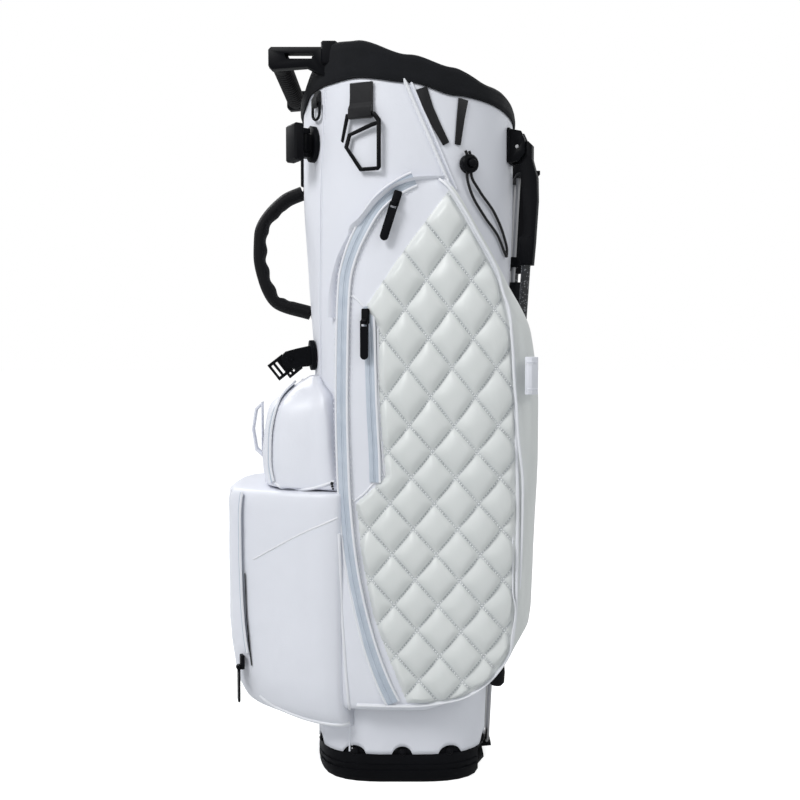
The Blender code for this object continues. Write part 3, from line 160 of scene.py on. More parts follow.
def flow(table, at):
    """Smooth curve through a table of (place, value) that never overshoots."""
    if at <= table[0][0]:
        return table[0][1]
    if at >= table[-1][0]:
        return table[-1][1]
    slopes = [(d - b) / (c - a) for (a, b), (c, d) in zip(table, table[1:])]
    tilts = [slopes[0]] + [0.0 if a * b <= 0 else 2 * a * b / (a + b) for a, b in zip(slopes, slopes[1:])]
    tilts.append(slopes[-1])
    for i, ((a, low), (b, high)) in enumerate(zip(table, table[1:])):
        if at <= b:
            span = b - a
            t = (at - a) / span
            return (low * (1 + 2 * t) * (1 - t) ** 2 + high * t * t * (3 - 2 * t)
                    + span * (tilts[i] * t * (1 - t) ** 2 - tilts[i + 1] * t * t * (1 - t)))


def wall(angle, z, out=0.0):
    """Point on the tube, or outside it. Angles run from the front towards the near side."""
    share = flow(TAPER, z)
    half_x = BASE_HALF[0] + (TOP_HALF[0] - BASE_HALF[0]) * share
    half_y = BASE_HALF[1] + (TOP_HALF[1] - BASE_HALF[1]) * share
    square = BASE_SQUARE + (TOP_SQUARE - BASE_SQUARE) * share
    c, s = math.cos(math.radians(angle)), math.sin(math.radians(angle))
    radius = (abs(c / half_x) ** square + abs(s / half_y) ** square) ** (-1 / square) + out
    return Vector((flow(LEAN, z) - radius * c, -radius * s, z))


def facing(angle, z):
    along = wall(angle + 0.5, z) - wall(angle - 0.5, z)
    return Vector((along.y, -along.x, 0)).normalized()


def surface(across, up, place, flip=False, closed=False):
    """Grid bent onto place(u, v), with its UVs in shares of its width and height."""
    bm = bmesh.new()
    bmesh.ops.create_grid(bm, x_segments=across, y_segments=up, size=0.5)
    layer = bm.loops.layers.uv.verify()
    for face in bm.faces:
        for loop in face.loops:
            loop[layer].uv = (loop.vert.co.x + 0.5, loop.vert.co.y + 0.5)
    for vert in bm.verts:
        vert.co = place(vert.co.x + 0.5, vert.co.y + 0.5)
    if closed:
        bmesh.ops.remove_doubles(bm, verts=bm.verts, dist=0.00002)
    if flip:
        bmesh.ops.reverse_faces(bm, faces=bm.faces)
    return bm


def show(name, bm, material, body="root", stands_for=(), sharp=40):
    mesh = bpy.data.meshes.new(name)
    bm.to_mesh(mesh)
    bm.free()
    mesh.shade_smooth()
    mesh.set_sharp_from_angle(angle=math.radians(sharp))
    mesh.materials.append(material)
    made = bpy.data.objects.new(name, mesh)
    bpy.context.scene.collection.objects.link(made)
    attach(made, body)
    for node in stands_for:
        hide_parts(node)
    return made


def thicken(piece, thickness, offset=-1.0):
    step = piece.modifiers.new("thickness", "SOLIDIFY")
    step.thickness = thickness
    step.offset = offset
    return piece


def effect(name, inputs, outputs):
    """Empty shader node group with float or colour sockets."""
    group = bpy.data.node_groups.new(name, "ShaderNodeTree")
    for label, kind, value in inputs:
        socket = group.interface.new_socket(label, in_out="INPUT", socket_type=kind)
        if value is not None:
            socket.default_value = value
    for label, kind in outputs:
        group.interface.new_socket(label, in_out="OUTPUT", socket_type=kind)
    return group


def node(tree, kind, settings=None, **values):
    made = tree.nodes.new(kind)
    for key, value in (settings or {}).items():
        setattr(made, key, value)
    for key, value in values.items():
        made.inputs[key.replace("_", " ")].default_value = value
    return made


# Pressed grain of coated cloth: small rounded pebbles, and a slow mottle for tone and shine
GRAIN = effect("pressed_grain", [("Scale", "NodeSocketFloat", 900.0)],
               [("Height", "NodeSocketFloat"), ("Mottle", "NodeSocketFloat")])
place_in = node(GRAIN, "ShaderNodeTexCoord")
ends = node(GRAIN, "NodeGroupInput"), node(GRAIN, "NodeGroupOutput")
pebble = node(GRAIN, "ShaderNodeTexVoronoi", {"feature": "SMOOTH_F1"}, Smoothness=0.6)
pores = node(GRAIN, "ShaderNodeTexNoise", None, Detail=3.0, Roughness=0.6, Scale=420.0)
slow = node(GRAIN, "ShaderNodeTexNoise", None, Detail=2.0, Roughness=0.5, Scale=9.0)
blend_height = node(GRAIN, "ShaderNodeMath", {"operation": "MULTIPLY_ADD"})
blend_height.inputs[1].default_value = 0.6
for texture in (pebble, pores, slow):
    wire(GRAIN, (place_in, "Object", texture, "Vector"))
wire(GRAIN, (ends[0], "Scale", pebble, "Scale"), (pebble, "Distance", blend_height, 0),
     (pores, "Fac", blend_height, 2), (blend_height, 0, ends[1], "Height"),
     (slow, "Fac", ends[1], "Mottle"))


def tones(tree, first, second):
    """Mix of two colours: its input 0 chooses between them and its output 2 is the colour."""
    mix = node(tree, "ShaderNodeMix", {"data_type": "RGBA"})
    mix.inputs[6].default_value = (*first, 1)
    mix.inputs[7].default_value = (*second, 1)
    return mix


def coated_cloth(name, light, dark, rough=(0.36, 0.5), grain=900.0, depth=0.00012):
    """White coated cloth: a soft tone mottle, a grain that catches light and a thin clear skin."""
    made, tree, shader = bare(name, Coat_Weight=0.12, Coat_Roughness=0.35, IOR=1.48)
    skin = node(tree, "ShaderNodeGroup", {"node_tree": GRAIN}, Scale=grain)
    tone = tones(tree, light, dark)
    gloss = node(tree, "ShaderNodeMapRange", None, From_Min=0.3, From_Max=0.7,
                 To_Min=rough[0], To_Max=rough[1])
    relief = node(tree, "ShaderNodeBump", None, Strength=0.7, Distance=depth)
    wire(tree, (skin, "Mottle", tone, 0), (tone, 2, shader, "Base Color"), (skin, "Mottle", gloss, "Value"),
         (gloss, 0, shader, "Roughness"), (skin, "Height", relief, "Height"),
         (relief, "Normal", shader, "Normal"))
    return made


WHITE = coated_cloth("white_coated_cloth", (0.79, 0.805, 0.865), (0.725, 0.74, 0.80))
PIPING = coated_cloth("white_piping", (0.82, 0.83, 0.86), (0.74, 0.755, 0.80), rough=(0.3, 0.42),
                      grain=1300.0)
THREAD = plain("white_thread", (0.78, 0.79, 0.82), 0.6)

CUFF_TOP = ((0, 0.046), (20, 0.040), (36, 0.020), (50, 0.0), (62, 0.002), (90, 0.021),
            (112, 0.033), (134, 0.047), (180, 0.068))
CUFF_FOOT = ((0, 0.067), (18, 0.062), (33, 0.049), (45, 0.046), (62, 0.044), (90, 0.052),
             (113, 0.064), (180, 0.077))


def eased(table, at):
    for (start, low), (end, high) in zip(table, table[1:]):
        if at <= end:
            share = (at - start) / (end - start)
            return low + (high - low) * share * share * (3 - 2 * share)
    return table[-1][1]


def cuff_foot(angle):
    return RIM - eased(CUFF_FOOT, abs((angle + 180) % 360 - 180))


def cuff_top(angle):
    return RIM - eased(CUFF_TOP, abs((angle + 180) % 360 - 180))


RIVET_TURNS = (0, 28, 59, 90, 121, 152, 180, 208, 239, 270, 301, 332)


def skirt_edge(angle):
    """Lower edge of the skirt: it is cut up in a small scallop round each rivet."""
    away = min(abs((angle - turn + 180) % 360 - 180) for turn in RIVET_TURNS)
    return TUBE_LOW.z + 0.0095 * max(0.0, 1 - (away / 7.0) ** 2) ** 0.6


def tube_place(u, v):
    angle = 360 * u
    foot = skirt_edge(angle)
    z = foot + (cuff_foot(angle) - foot) * v
    c, s = math.cos(math.radians(angle)), math.sin(math.radians(angle))
    slack = noise.noise(Vector((c * 2, s * 2, z * 9)))
    creases = noise.noise(Vector((s * 5, c * 5, z * 30)))
    low_pull = max(0.0, 1 - (z - TUBE_LOW.z) / 0.05)
    return wall(angle, z, 0.0006 * slack + 0.0010 * creases * low_pull)


tube = show("outer_tube", surface(300, 150, tube_place, closed=True), WHITE, stands_for=["body_shell"])
thicken(tube, 0.0018)


# ---------------------------------------------------------------- seams on the tube
# Sewn seams: each is a folded ridge with a row of white thread beside it. The spine seams flank the
# front panel, and a welt runs from the collar down to the side pocket.
def stations(path, where, step=0.004):
    """Even stations (point, outward, along) on a surface along a smooth path of two numbers."""
    spans = [0.0]
    points = [where(*place) for place in path]
    for (a, _), (b, _) in zip(points, points[1:]):
        spans.append(spans[-1] + (b - a).length)
    first = [(s, place[0]) for s, place in zip(spans, path)]
    second = [(s, place[1]) for s, place in zip(spans, path)]
    count = max(3, round(spans[-1] / step))
    made = [where(flow(first, spans[-1] * i / count), flow(second, spans[-1] * i / count))
            for i in range(count + 1)]
    for _ in range(3):
        made = [made[0]] + [((a[0] + b[0] * 2 + c[0]) / 4, (a[1] + b[1] * 2 + c[1]).normalized())
                            for a, b, c in zip(made, made[1:], made[2:])] + [made[-1]]
    line = []
    for i, (point, normal) in enumerate(made):
        along = (made[min(i + 1, count)][0] - made[max(i - 1, 0)][0]).normalized()
        line.append((point, (normal - along * normal.dot(along)).normalized(), along))
    return line


def on_tube(angle, z):
    return wall(angle, z), facing(angle, z)


def ribbon(line, profile, closed=False):
    """Section of (across, height) swept along the stations."""
    count = len(line) - 1
    ring = profile + profile[:1] if closed else profile

    def place(u, v):
        point, normal, along = line[round(v * count)]
        across, height = ring[round(u * (len(ring) - 1))]
        return point + along.cross(normal) * across + normal * height

    bm = surface(len(ring) - 1, count, place)
    if closed:
        bmesh.ops.remove_doubles(bm, verts=bm.verts, dist=0.00001)
        bmesh.ops.holes_fill(bm, edges=[edge for edge in bm.edges if edge.is_boundary])
    bmesh.ops.recalc_face_normals(bm, faces=bm.faces)
    return bm


def bead(radius, lift=0.0, sides=10, across=0.0):
    turns = [2 * math.pi * i / sides for i in range(sides)]
    return [(across + radius * math.cos(turn), lift + radius * math.sin(turn)) for turn in turns]


def stitch_into(bm, line, pitch=0.0036, across=0.0, lift=0.0003, size=(0.0013, 0.0005, 0.0004)):
    """Row of thread stitches, each a small lozenge lying along the line."""
    gone = 0.0
    for (point, normal, along), (after, _, _) in zip(line, line[1:]):
        gone += (after - point).length
        if gone < pitch:
            continue
        gone = 0.0
        side = along.cross(normal)
        turn = Matrix((along, side, normal)).transposed().to_4x4()
        place = Matrix.Translation(point + side * across + normal * lift) @ turn
        bmesh.ops.create_icosphere(bm, subdivisions=1, radius=1.0,
                                   matrix=place @ Matrix.Diagonal((*size, 1)))


SPINE = [(43.3, 0.806), (41.0, 0.740), (38.0, 0.640), (34.6, 0.540), (32.6, 0.455)]
WELT = [(87.5, 0.806), (94.0, 0.772), (101.5, 0.735), (108.1, 0.702), (112.0, 0.684)]
SKIRT_SEAM = [(55.5, 0.105), (56.0, 0.036)]
for side, word in ((1, "near"), (-1, "far")):
    def turned(path, side=side):
        return [(side * angle, z) for angle, z in path]

    sewn = bmesh.new()
    for name, path in (("spine", SPINE), ("skirt", SKIRT_SEAM)):
        line = stations(turned(path), on_tube, 0.002)
        show(name + "_seam_" + word, ribbon(line, bead(0.0011, 0.0001), True), WHITE)
        stitch_into(sewn, line, across=-side * 0.0032)
    show("tube_stitches_" + word, sewn, THREAD)
    line = stations(turned(WELT), on_tube, 0.003)
    show("collar_welt_" + word, ribbon(line, bead(0.0022, 0.0008), True), PIPING)
    show("collar_welt_fold_" + word, ribbon(line, bead(0.0016, 0.0005, across=-side * 0.0060), True), WHITE)

# ---------------------------------------------------------------- quilted side pockets
# A long pocket on each side: coated cloth over foam, quilted in diamonds with dotted white thread,
# closed by a long curved zip in front and edged by a welt behind.
QUILT = coated_cloth("quilted_coated_cloth", (0.735, 0.755, 0.745), (0.66, 0.685, 0.68), rough=(0.38, 0.52))
quilt_tree = QUILT.node_tree
quilt_shader = quilt_tree.nodes["Principled BSDF"]
# Painted shade: the base colour is darkened along the quilting's stitch lines, as the shade that lies in the
# grooves.
groove_shade = node(quilt_tree, "ShaderNodeAttribute", {"attribute_name": "groove_shade"})
groove_shade_tone = tones(quilt_tree, (0.36, 0.39, 0.415), (0.36, 0.39, 0.415))
wire(quilt_tree, (groove_shade, "Fac", groove_shade_tone, 0))
quilt_tree.links.new(quilt_shader.inputs["Base Color"].links[0].from_socket, groove_shade_tone.inputs[6])
wire(quilt_tree, (groove_shade_tone, 2, quilt_shader, "Base Color"))
QUILT_THREAD = plain("bright_quilt_thread", (0.92, 0.93, 0.94), 0.5)
SIDE_LOW, SIDE_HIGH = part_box("garment_pocket_near")
SIDE_COLUMNS = ((0.0, 0.0), (0.010, 0.0125), (0.022, 0.0175), (0.051, 0.0190), (0.184, 0.0170),
                (0.364, 0.0175), (0.525, 0.020), (0.687, 0.031), (0.796, 0.043), (0.877, 0.0530),
                (0.910, 0.0565), (0.957, 0.0560), (0.996, 0.0505), (1.0, 0.0))
START, END, FOOT, HEAD = 54.6, 149.0, SIDE_LOW.z, SIDE_HIGH.z
SIDE_ROWS = ((FOOT, START, END, 0.30), (FOOT + 0.002, START, END, 0.62), (FOOT + 0.008, START, END, 0.82),
             (FOOT + 0.035, START, END, 0.96), (FOOT + 0.090, START, END, 1.0), (0.345, START, END, 1.0),
             (0.445, START, END, 0.93), (HEAD - 0.175, START, END - 3, 0.74),
             (HEAD - 0.115, START - 1.6, END - 14, 0.42), (HEAD - 0.060, START + 7.4, END - 26, 0.22),
             (HEAD - 0.015, START + 22.4, END - 37, 0.10), (HEAD, START + 31.4, END - 42, 0.0))
SIDE_RISE = ((0.0, 0.0), (0.478, 0.0), (0.639, 0.010), (0.744, 0.020), (0.848, 0.046), (0.910, 0.075),
             (1.0, 0.090))


def pouch_place(columns, rows, side=1, rise=None, skin=0.0048):
    """Place function of a pocket's face. The rows run up it, and rise lifts its lower edge."""
    spans = [0.0]
    for a, b in zip(rows, rows[1:]):
        spans.append(spans[-1] + math.hypot(b[0] - a[0], 0.10 * (b[3] - a[3])))
    tables = [[(s / spans[-1], row[i]) for s, row in zip(spans, rows)] for i in range(4)]

    def place(u, v, out=0.0):
        z, first, last, swell = [flow(table, v) for table in tables]
        if rise:
            z += max(0.0, 1 - (z - rows[0][0]) / 0.160) * flow(rise, u)
        shell = skin * min(1.0, swell / 0.02, 100 * u, 100 * (1 - u))
        depth = flow(columns, u) * swell + shell
        return wall(side * (first + (last - first) * u), z, depth + out)

    return place


# Quilting: crossings lie on a lattice that leans a little, and is taller above the middle
DIAMOND, ROW_UP, ROW_DOWN, QUILT_HEIGHT = 0.0495, 0.0325, 0.0292, 0.0078
CROSSING = (0.008, 0.423)
QUILT_LEAN, QUILT_FOOT, QUILT_TOP = 0.037, 0.104, 0.700
OUTSIDE = 0.4  # further from the middle than any piece
QUILT_EDGE = ((0.102, 0.006), (0.160, -0.017), (0.205, -0.033), (0.245, -0.041), (0.279, -0.047),
              (0.313, -0.050), (0.334, -0.053), (0.362, -0.022), (0.366, -0.019), (0.446, -0.026),
              (0.534, -0.029), (0.554, -0.042), (0.620, 0.003), (0.682, 0.050), (0.70, 0.060))
BACK_EDGE = ((0.100, -0.055), (0.101, 0.004), (0.111, 0.062), (0.134, 0.099), (0.171, 0.122), (0.228, 0.126),
             (0.452, 0.126), (0.531, 0.120), (0.585, 0.106), (0.634, 0.080), (0.706, 0.041))


def straight(table, at):
    for (a, low), (b, high) in zip(table, table[1:]):
        if at <= b:
            return low + (high - low) * max(0.0, (at - a) / (b - a))
    return table[-1][1]


def lattice(x, z):
    p = (x + QUILT_LEAN * (z - CROSSING[1]) - CROSSING[0]) / DIAMOND
    q = (z - CROSSING[1]) / (2 * (ROW_UP if z > CROSSING[1] else ROW_DOWN))
    return p + q, p - q


def quilting(x, z):
    """Height of the quilting, from 0 on a stitch line to 1 at the middle of a diamond."""
    inside = min(x - straight(QUILT_EDGE, z), straight(BACK_EDGE, z) - x, (z - QUILT_FOOT) * 1.2)
    if inside <= 0:
        return 0.0
    a, b = [abs(value - round(value)) * 2 for value in lattice(x, z)]
    puff = (1 - (1 - a) ** 3.2) * (1 - (1 - b) ** 3.2)
    return puff * min(1.0, inside / 0.008)


faces_of = {}


def on_pocket(side):
    tree = faces_of[side]

    def where(x, z):
        hit = tree.ray_cast(Vector((x, -side * OUTSIDE, z)), Vector((0, side, 0)))
        if hit[0] is None:
            hit = tree.find_nearest(Vector((x, -side * 0.11, z)))
        normal = hit[1] if hit[1].y * side < 0 or abs(hit[1].x) > 0.7 else -hit[1]
        return hit[0], normal

    return where


for side, word in ((1, "near"), (-1, "far")):
    place = pouch_place(SIDE_COLUMNS, SIDE_ROWS, side, SIDE_RISE)
    rough = surface(60, 130, place, flip=side < 0)
    faces_of[side] = BVHTree.FromBMesh(rough)
    rough.free()
    groove_shades = []

    def quilted(u, v, place=place, side=side, groove_shades=groove_shades):
        flat = place(u, v)
        away = Vector((flat.x - 0.0075, flat.y, 0)).normalized()
        crinkle = noise.noise(flat * 55) * 0.00045
        on_side = min(1.0, max(0.0, (0.925 - u) / 0.02))
        puff = quilting(flat.x, flat.z) * on_side
        a, b = [abs(value - round(value)) * DIAMOND for value in lattice(flat.x, flat.z)]
        between = straight(QUILT_EDGE, flat.z) < flat.x < straight(BACK_EDGE, flat.z)
        in_quilt = between and flat.z > QUILT_FOOT
        # Strength of the painted groove shade, highest on each stitch line.
        groove_shades.append(max(0.0, 1 - min(a, b) / 0.0019) * 0.85 * on_side if in_quilt else 0.0)
        slow_wave = 0.0004 * noise.noise(flat * 14)
        return flat + away * (QUILT_HEIGHT * puff + crinkle * (0.4 + puff) + slow_wave)

    skin_sheet = surface(150, 330, quilted, flip=side < 0)
    skin_faces = BVHTree.FromBMesh(skin_sheet)
    panel = show("side_pocket_" + word, skin_sheet, QUILT,
                 stands_for=["garment_pocket_" + word])
    panel.data.materials.append(WHITE)
    for polygon in panel.data.polygons:
        middle = polygon.center
        if middle.x < straight(QUILT_EDGE, middle.z) + 0.0005 or middle.z < QUILT_FOOT:
            polygon.material_index = 1
    kept = panel.data.attributes.new("groove_shade", "FLOAT", "POINT")
    kept.data.foreach_set("value", groove_shades)
    thicken(panel, 0.0015)

    def on_quilt(x, z, side=side, skin_faces=skin_faces):
        hit = skin_faces.ray_cast(Vector((x, -side * OUTSIDE, z)), Vector((0, side, 0)))[0]
        hit = hit or skin_faces.find_nearest(Vector((x, -side * 0.11, z)))[0]
        return hit, Vector((hit.x - 0.0075, hit.y, 0)).normalized()

    where = on_quilt
    dots = bmesh.new()
    for family in (1, -1):
        for index in range(-14, 15):
            z = 0.106
            while z < QUILT_TOP:
                q = (z - CROSSING[1]) / (2 * (ROW_UP if z > CROSSING[1] else ROW_DOWN))
                x = (index - family * q) * DIAMOND + CROSSING[0] - QUILT_LEAN * (z - CROSSING[1])
                step = 0.0027
                if straight(QUILT_EDGE, z) + 0.002 < x < straight(BACK_EDGE, z) - 0.004:
                    point, normal = where(x, z)
                    after, _ = where(x - family * 0.0004, z + 0.0005)
                    along = after - point
                    if 0 < along.length < 0.003:
                        along.normalize()
                        side_way = along.cross(normal).normalized()
                        turn = Matrix((along, side_way, normal)).transposed().to_4x4()
                        spot = Matrix.Translation(point + normal * 0.0004) @ turn
                        bmesh.ops.create_icosphere(
                            dots, subdivisions=1, radius=1.0,
                            matrix=spot @ Matrix.Diagonal((0.0010, 0.0006, 0.0006, 1)))
                z += step
    show("quilt_stitches_" + word, dots, QUILT_THREAD)

# ---------------------------------------------------------------- front pockets
# A wide ball pocket with square padded corners, and a smaller pocket over it. Both are coated cloth over
# foam, let into the tube's seams, with piping round their mouths and a curved zip on each side.
BALL_LOW, BALL_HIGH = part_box("ball_pocket")
UPPER_LOW, UPPER_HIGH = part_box("upper_front_pocket")
BALL_DEEP, UPPER_DEEP, FRONT_TURN = 0.107, 0.0605, 58.8


def both_ways(half):
    return list(half) + [(1 - share, deep) for share, deep in reversed(half[:-1])]


BALL_COLUMNS = both_ways([(0.0, 0.0), (0.004, 0.024), (0.12, 0.38 * BALL_DEEP), (0.22, 0.57 * BALL_DEEP),
                          (0.31, 0.85 * BALL_DEEP), (0.345, 0.95 * BALL_DEEP), (0.42, 0.975 * BALL_DEEP),
                          (0.5, 0.965 * BALL_DEEP)])
UPPER_COLUMNS = both_ways([(0.0, 0.0), (0.004, 0.012), (0.08, 0.022), (0.20, 0.050),
                           (0.28, 0.96 * UPPER_DEEP), (0.38, UPPER_DEEP), (0.5, UPPER_DEEP)])
ball_rows = [(BALL_LOW.z, 0.0), (BALL_LOW.z + 0.0005, 0.24), (BALL_LOW.z + 0.007, 0.54),
             (BALL_LOW.z + 0.024, 0.80), (BALL_LOW.z + 0.060, 0.95), (BALL_LOW.z + 0.130, 1.0),
             (BALL_HIGH.z - 0.020, 1.0), (BALL_HIGH.z - 0.006, 0.975), (BALL_HIGH.z - 0.001, 0.93),
             (BALL_HIGH.z, 0.80), (BALL_HIGH.z, 0.40), (BALL_HIGH.z, 0.0)]
BALL_ROWS = [(z, -FRONT_TURN, FRONT_TURN, swell) for z, swell in ball_rows]
WIDE, MID, NARROW = 53.5, 49.5, 38.0
UPPER_ROWS = [(UPPER_LOW.z + 0.0002, -WIDE, WIDE, 0.60), (UPPER_LOW.z + 0.003, -WIDE, WIDE, 0.97),
              (UPPER_LOW.z + 0.035, -WIDE + 2, WIDE - 2, 1.02), (UPPER_HIGH.z - 0.055, -MID, MID, 0.94),
              (UPPER_HIGH.z - 0.038, -MID + 1.5, MID - 1.5, 0.86),
              (UPPER_HIGH.z - 0.024, -MID + 4, MID - 4, 0.62),
              (UPPER_HIGH.z - 0.010, -NARROW, NARROW, 0.28), (UPPER_HIGH.z, -NARROW + 6, NARROW - 6, 0.0)]
sides_of = []
for name, columns, rows, across, up in (("ball_pocket", BALL_COLUMNS, BALL_ROWS, 220, 110),
                                        ("upper_front_pocket", UPPER_COLUMNS, UPPER_ROWS, 200, 60)):
    place = pouch_place(columns, rows)
    rough = surface(160, 70, place)
    sides_of.append(BVHTree.FromBMesh(rough))
    rough.free()

    def softened(u, v, place=place, rows=rows):
        flat = place(u, v)
        away = Vector((flat.x * 0.7, flat.y, 0)).normalized()
        edge = min(1.0, 8 * u, 8 * (1 - u), max(0.0, flat.z - rows[0][0]) / 0.02)
        return flat + away * edge * (0.0011 * noise.noise(flat * 16) + 0.0004 * noise.noise(flat * 60))

    pouch = show(name + "_skin", surface(across, up, softened), WHITE, stands_for=[name])
    thicken(pouch, 0.0014)
rough = surface(120, 60, lambda u, v: wall(360 * u, 0.036 + 0.77 * v))
sides_of.append(BVHTree.FromBMesh(rough))
rough.free()


def outermost(trees, start, heading):
    best = None
    for tree in trees:
        hit = tree.ray_cast(start, heading)
        if hit[0] is not None and (best is None or hit[3] < best[2]):
            best = hit[0], hit[1] if hit[1].dot(heading) < 0 else -hit[1], hit[3]
    return best


def on_bag(side):
    """Outermost place on the near or far side at a given X and height."""
    def where(x, z):
        trees = sides_of + [faces_of[side]]
        best = outermost(trees, Vector((x, -side * OUTSIDE, z)), Vector((0, side, 0)))
        return best[:2] if best else on_pocket(side)(x, z)
    return where


def on_front(y, z):
    best = outermost(sides_of, Vector((-0.5, y, z)), Vector((1, 0, 0)))
    return best[:2]


# ---------------------------------------------------------------- welts round the side pockets
# Round cord sewn into a folded strip: two run side by side down the pocket's back edge and along
# its foot, and one edges the panel in front of the quilting.
BACK_WELT = [(0.043, 0.702), (0.083, 0.634), (0.109, 0.585), (0.123, 0.531), (0.128, 0.446), (0.130, 0.340),
             (0.129, 0.228), (0.124, 0.171), (0.102, 0.134), (0.065, 0.110), (0.004, 0.101), (-0.052, 0.101)]
for side, word in ((1, "near"), (-1, "far")):
    where = on_pocket(side)
    line = stations(BACK_WELT, where, 0.003)
    show("back_welt_" + word, ribbon(line, bead(0.0020, 0.0010), True), PIPING)
    for label, shift, radius in (("outer", 0.0062, 0.0017), ("inner", -0.0052, 0.0010)):
        show("back_welt_" + label + "_" + word,
             ribbon(line, bead(radius, 0.0002, across=side * -shift), True), PIPING)

# ---------------------------------------------------------------- zips
# Coil zips with silvery blue tape: the teeth face inward, so the outside shows two smooth tapes, a
# fine ridge between them and a stitched welt on each side.
def zip_tape(name):
    made, tree, shader = bare(name, Roughness=0.55, Sheen_Weight=0.25)
    place = node(tree, "ShaderNodeTexCoord")
    rib = node(tree, "ShaderNodeTexWave", {"bands_direction": "Z"}, Scale=420.0, Distortion=0.6)
    cloud = node(tree, "ShaderNodeTexNoise", None, Scale=60.0, Detail=3.0)
    tone = tones(tree, (0.43, 0.49, 0.575), (0.58, 0.635, 0.71))
    relief = node(tree, "ShaderNodeBump", None, Strength=0.5, Distance=0.0002)
    wire(tree, (place, "Object", rib, "Vector"), (place, "Object", cloud, "Vector"), (cloud, "Fac", tone, 0),
         (tone, 2, shader, "Base Color"), (rib, "Fac", relief, "Height"),
         (relief, "Normal", shader, "Normal"))
    return made


TAPE = zip_tape("zip_tape")
ZIP_SECTION = [(-0.0064, 0.0002), (-0.0064, 0.0010), (-0.0040, 0.0013), (-0.0022, 0.0010), (-0.0015, 0.0017),
               (-0.0004, 0.0019), (0.0, 0.0012), (0.0004, 0.0019), (0.0015, 0.0017), (0.0022, 0.0010),
               (0.0040, 0.0013), (0.0064, 0.0010), (0.0064, 0.0002)]


def settled(line, passes=10):
    """Stations eased so that a flat tape bridges small steps and faces straight out of the bag."""
    points = [point for point, _, _ in line]
    for _ in range(passes):
        inner = [(a + b * 2 + c) / 4 for a, b, c in zip(points, points[1:], points[2:])]
        points = [points[0]] + inner + [points[-1]]
    made = []
    for i, point in enumerate(points):
        along = (points[min(i + 1, len(points) - 1)] - points[max(i - 1, 0)]).normalized()
        out = Vector((point.x - TOP_LEAN, point.y, 0)).normalized()
        out = (out - along * out.dot(along)).normalized()
        made.append((point + out * 0.0008, out, along))
    return made


def zip_run(name, path, where, width=1.0, welts=(1, -1)):
    line = settled(stations(path, where, 0.003))
    show(name + "_tape", ribbon(line, [(x * width, h) for x, h in ZIP_SECTION]), TAPE)
    sewn = bmesh.new()
    for sign in welts:
        show(name + ("_welt_front" if sign > 0 else "_welt_back"),
             ribbon(line, bead(0.0015, 0.0009, across=sign * (0.0064 * width + 0.0013)), True), PIPING)
        stitch_into(sewn, line, across=sign * (0.0064 * width + 0.0045), lift=0.0006)
    show(name + "_stitches", sewn, THREAD)


MAIN_ZIP = [(0.013, 0.6955), (0.001, 0.690), (-0.027, 0.669), (-0.044, 0.642), (-0.056, 0.616),
            (-0.0635, 0.588), (-0.0660, 0.544), (-0.0675, 0.446), (-0.0655, 0.355), (-0.0625, 0.310),
            (-0.0570, 0.262), (-0.0480, 0.214), (-0.0350, 0.165), (-0.0200, 0.124), (-0.0105, 0.104)]
SMALL_ZIP = [(-0.0375, 0.556), (-0.0365, 0.520), (-0.0345, 0.446), (-0.0315, 0.383), (-0.0310, 0.359)]
for side, word in ((1, "near"), (-1, "far")):
    where = on_bag(side)
    zip_run("long_zip_" + word, MAIN_ZIP, where)
    if side > 0:
        zip_run("small_zip", SMALL_ZIP, where, 0.85, welts=(-1,))

# ---------------------------------------------------------------- panel edges beside the zips
# Folded edges of the plain panels: the lip that hangs over the pocket's top, and the two steps
# where the quilting is let in round the small zip.
LIP = [(0.045, 0.700), (0.017, 0.698), (-0.006, 0.691), (-0.024, 0.678), (-0.041, 0.659), (-0.058, 0.634),
       (-0.071, 0.606), (-0.077, 0.575), (-0.0785, 0.545)]
STEPS = ([(-0.063, 0.574), (-0.050, 0.564), (-0.041, 0.554), (-0.036, 0.546)],
         [(-0.021, 0.366), (-0.030, 0.361), (-0.043, 0.347), (-0.056, 0.337)],
         [(-0.0255, 0.545), (-0.027, 0.534), (-0.0265, 0.446), (-0.021, 0.385), (-0.019, 0.366)])


for side, word in ((1, "near"), (-1, "far")):
    where = on_bag(side)
    line = stations(LIP, where, 0.003)
    show("pocket_lip_" + word, ribbon(line, [(0.0085 * side, 0.0002), (0.006 * side, 0.0026), (0.0, 0.0038),
                                             (-0.0018 * side, 0.0030), (-0.0022 * side, 0.0018),
                                             (-0.001 * side, 0.0005)]), WHITE)
    for index, path in enumerate(STEPS):
        show("panel_step_%d_%s" % (index, word),
             ribbon(stations(path, where, 0.002), bead(0.0011, 0.0007), True), PIPING)

# ---------------------------------------------------------------- seams and zips of the front pockets
# Piping edges the pockets' mouths and their foot, and a slanting seam crosses each side of the ball
# pocket. The zips' silvery tapes run down the front corners. Beside the ball zip, a black strip is painted
# shade: it is the shadowed gap there, with the black lining seen in it.
# Black for the bar tacks, and for the strip of painted shade in the gap beside the ball zip.
BLACK_TACKS_AND_GAP_SHADE = plain("black_tacks_and_gap_shade", (0.008, 0.008, 0.009), 0.8)
BALL_SEAM = [(-0.174, 0.264), (-0.145, 0.282), (-0.110, 0.302), (-0.073, 0.319)]
STRIP_SEAM = [(-0.0715, 0.300), (-0.0690, 0.220), (-0.0655, 0.160), (-0.0610, 0.092)]
MOUTH_PIPING = [(-0.157, 0.366), (-0.146, 0.352), (-0.132, 0.3465), (-0.105, 0.349), (-0.078, 0.358)]
FOOT_PIPING = [(-0.1690, 0.098), (-0.150, 0.086), (-0.120, 0.0785), (-0.090, 0.0755), (-0.062, 0.0745)]
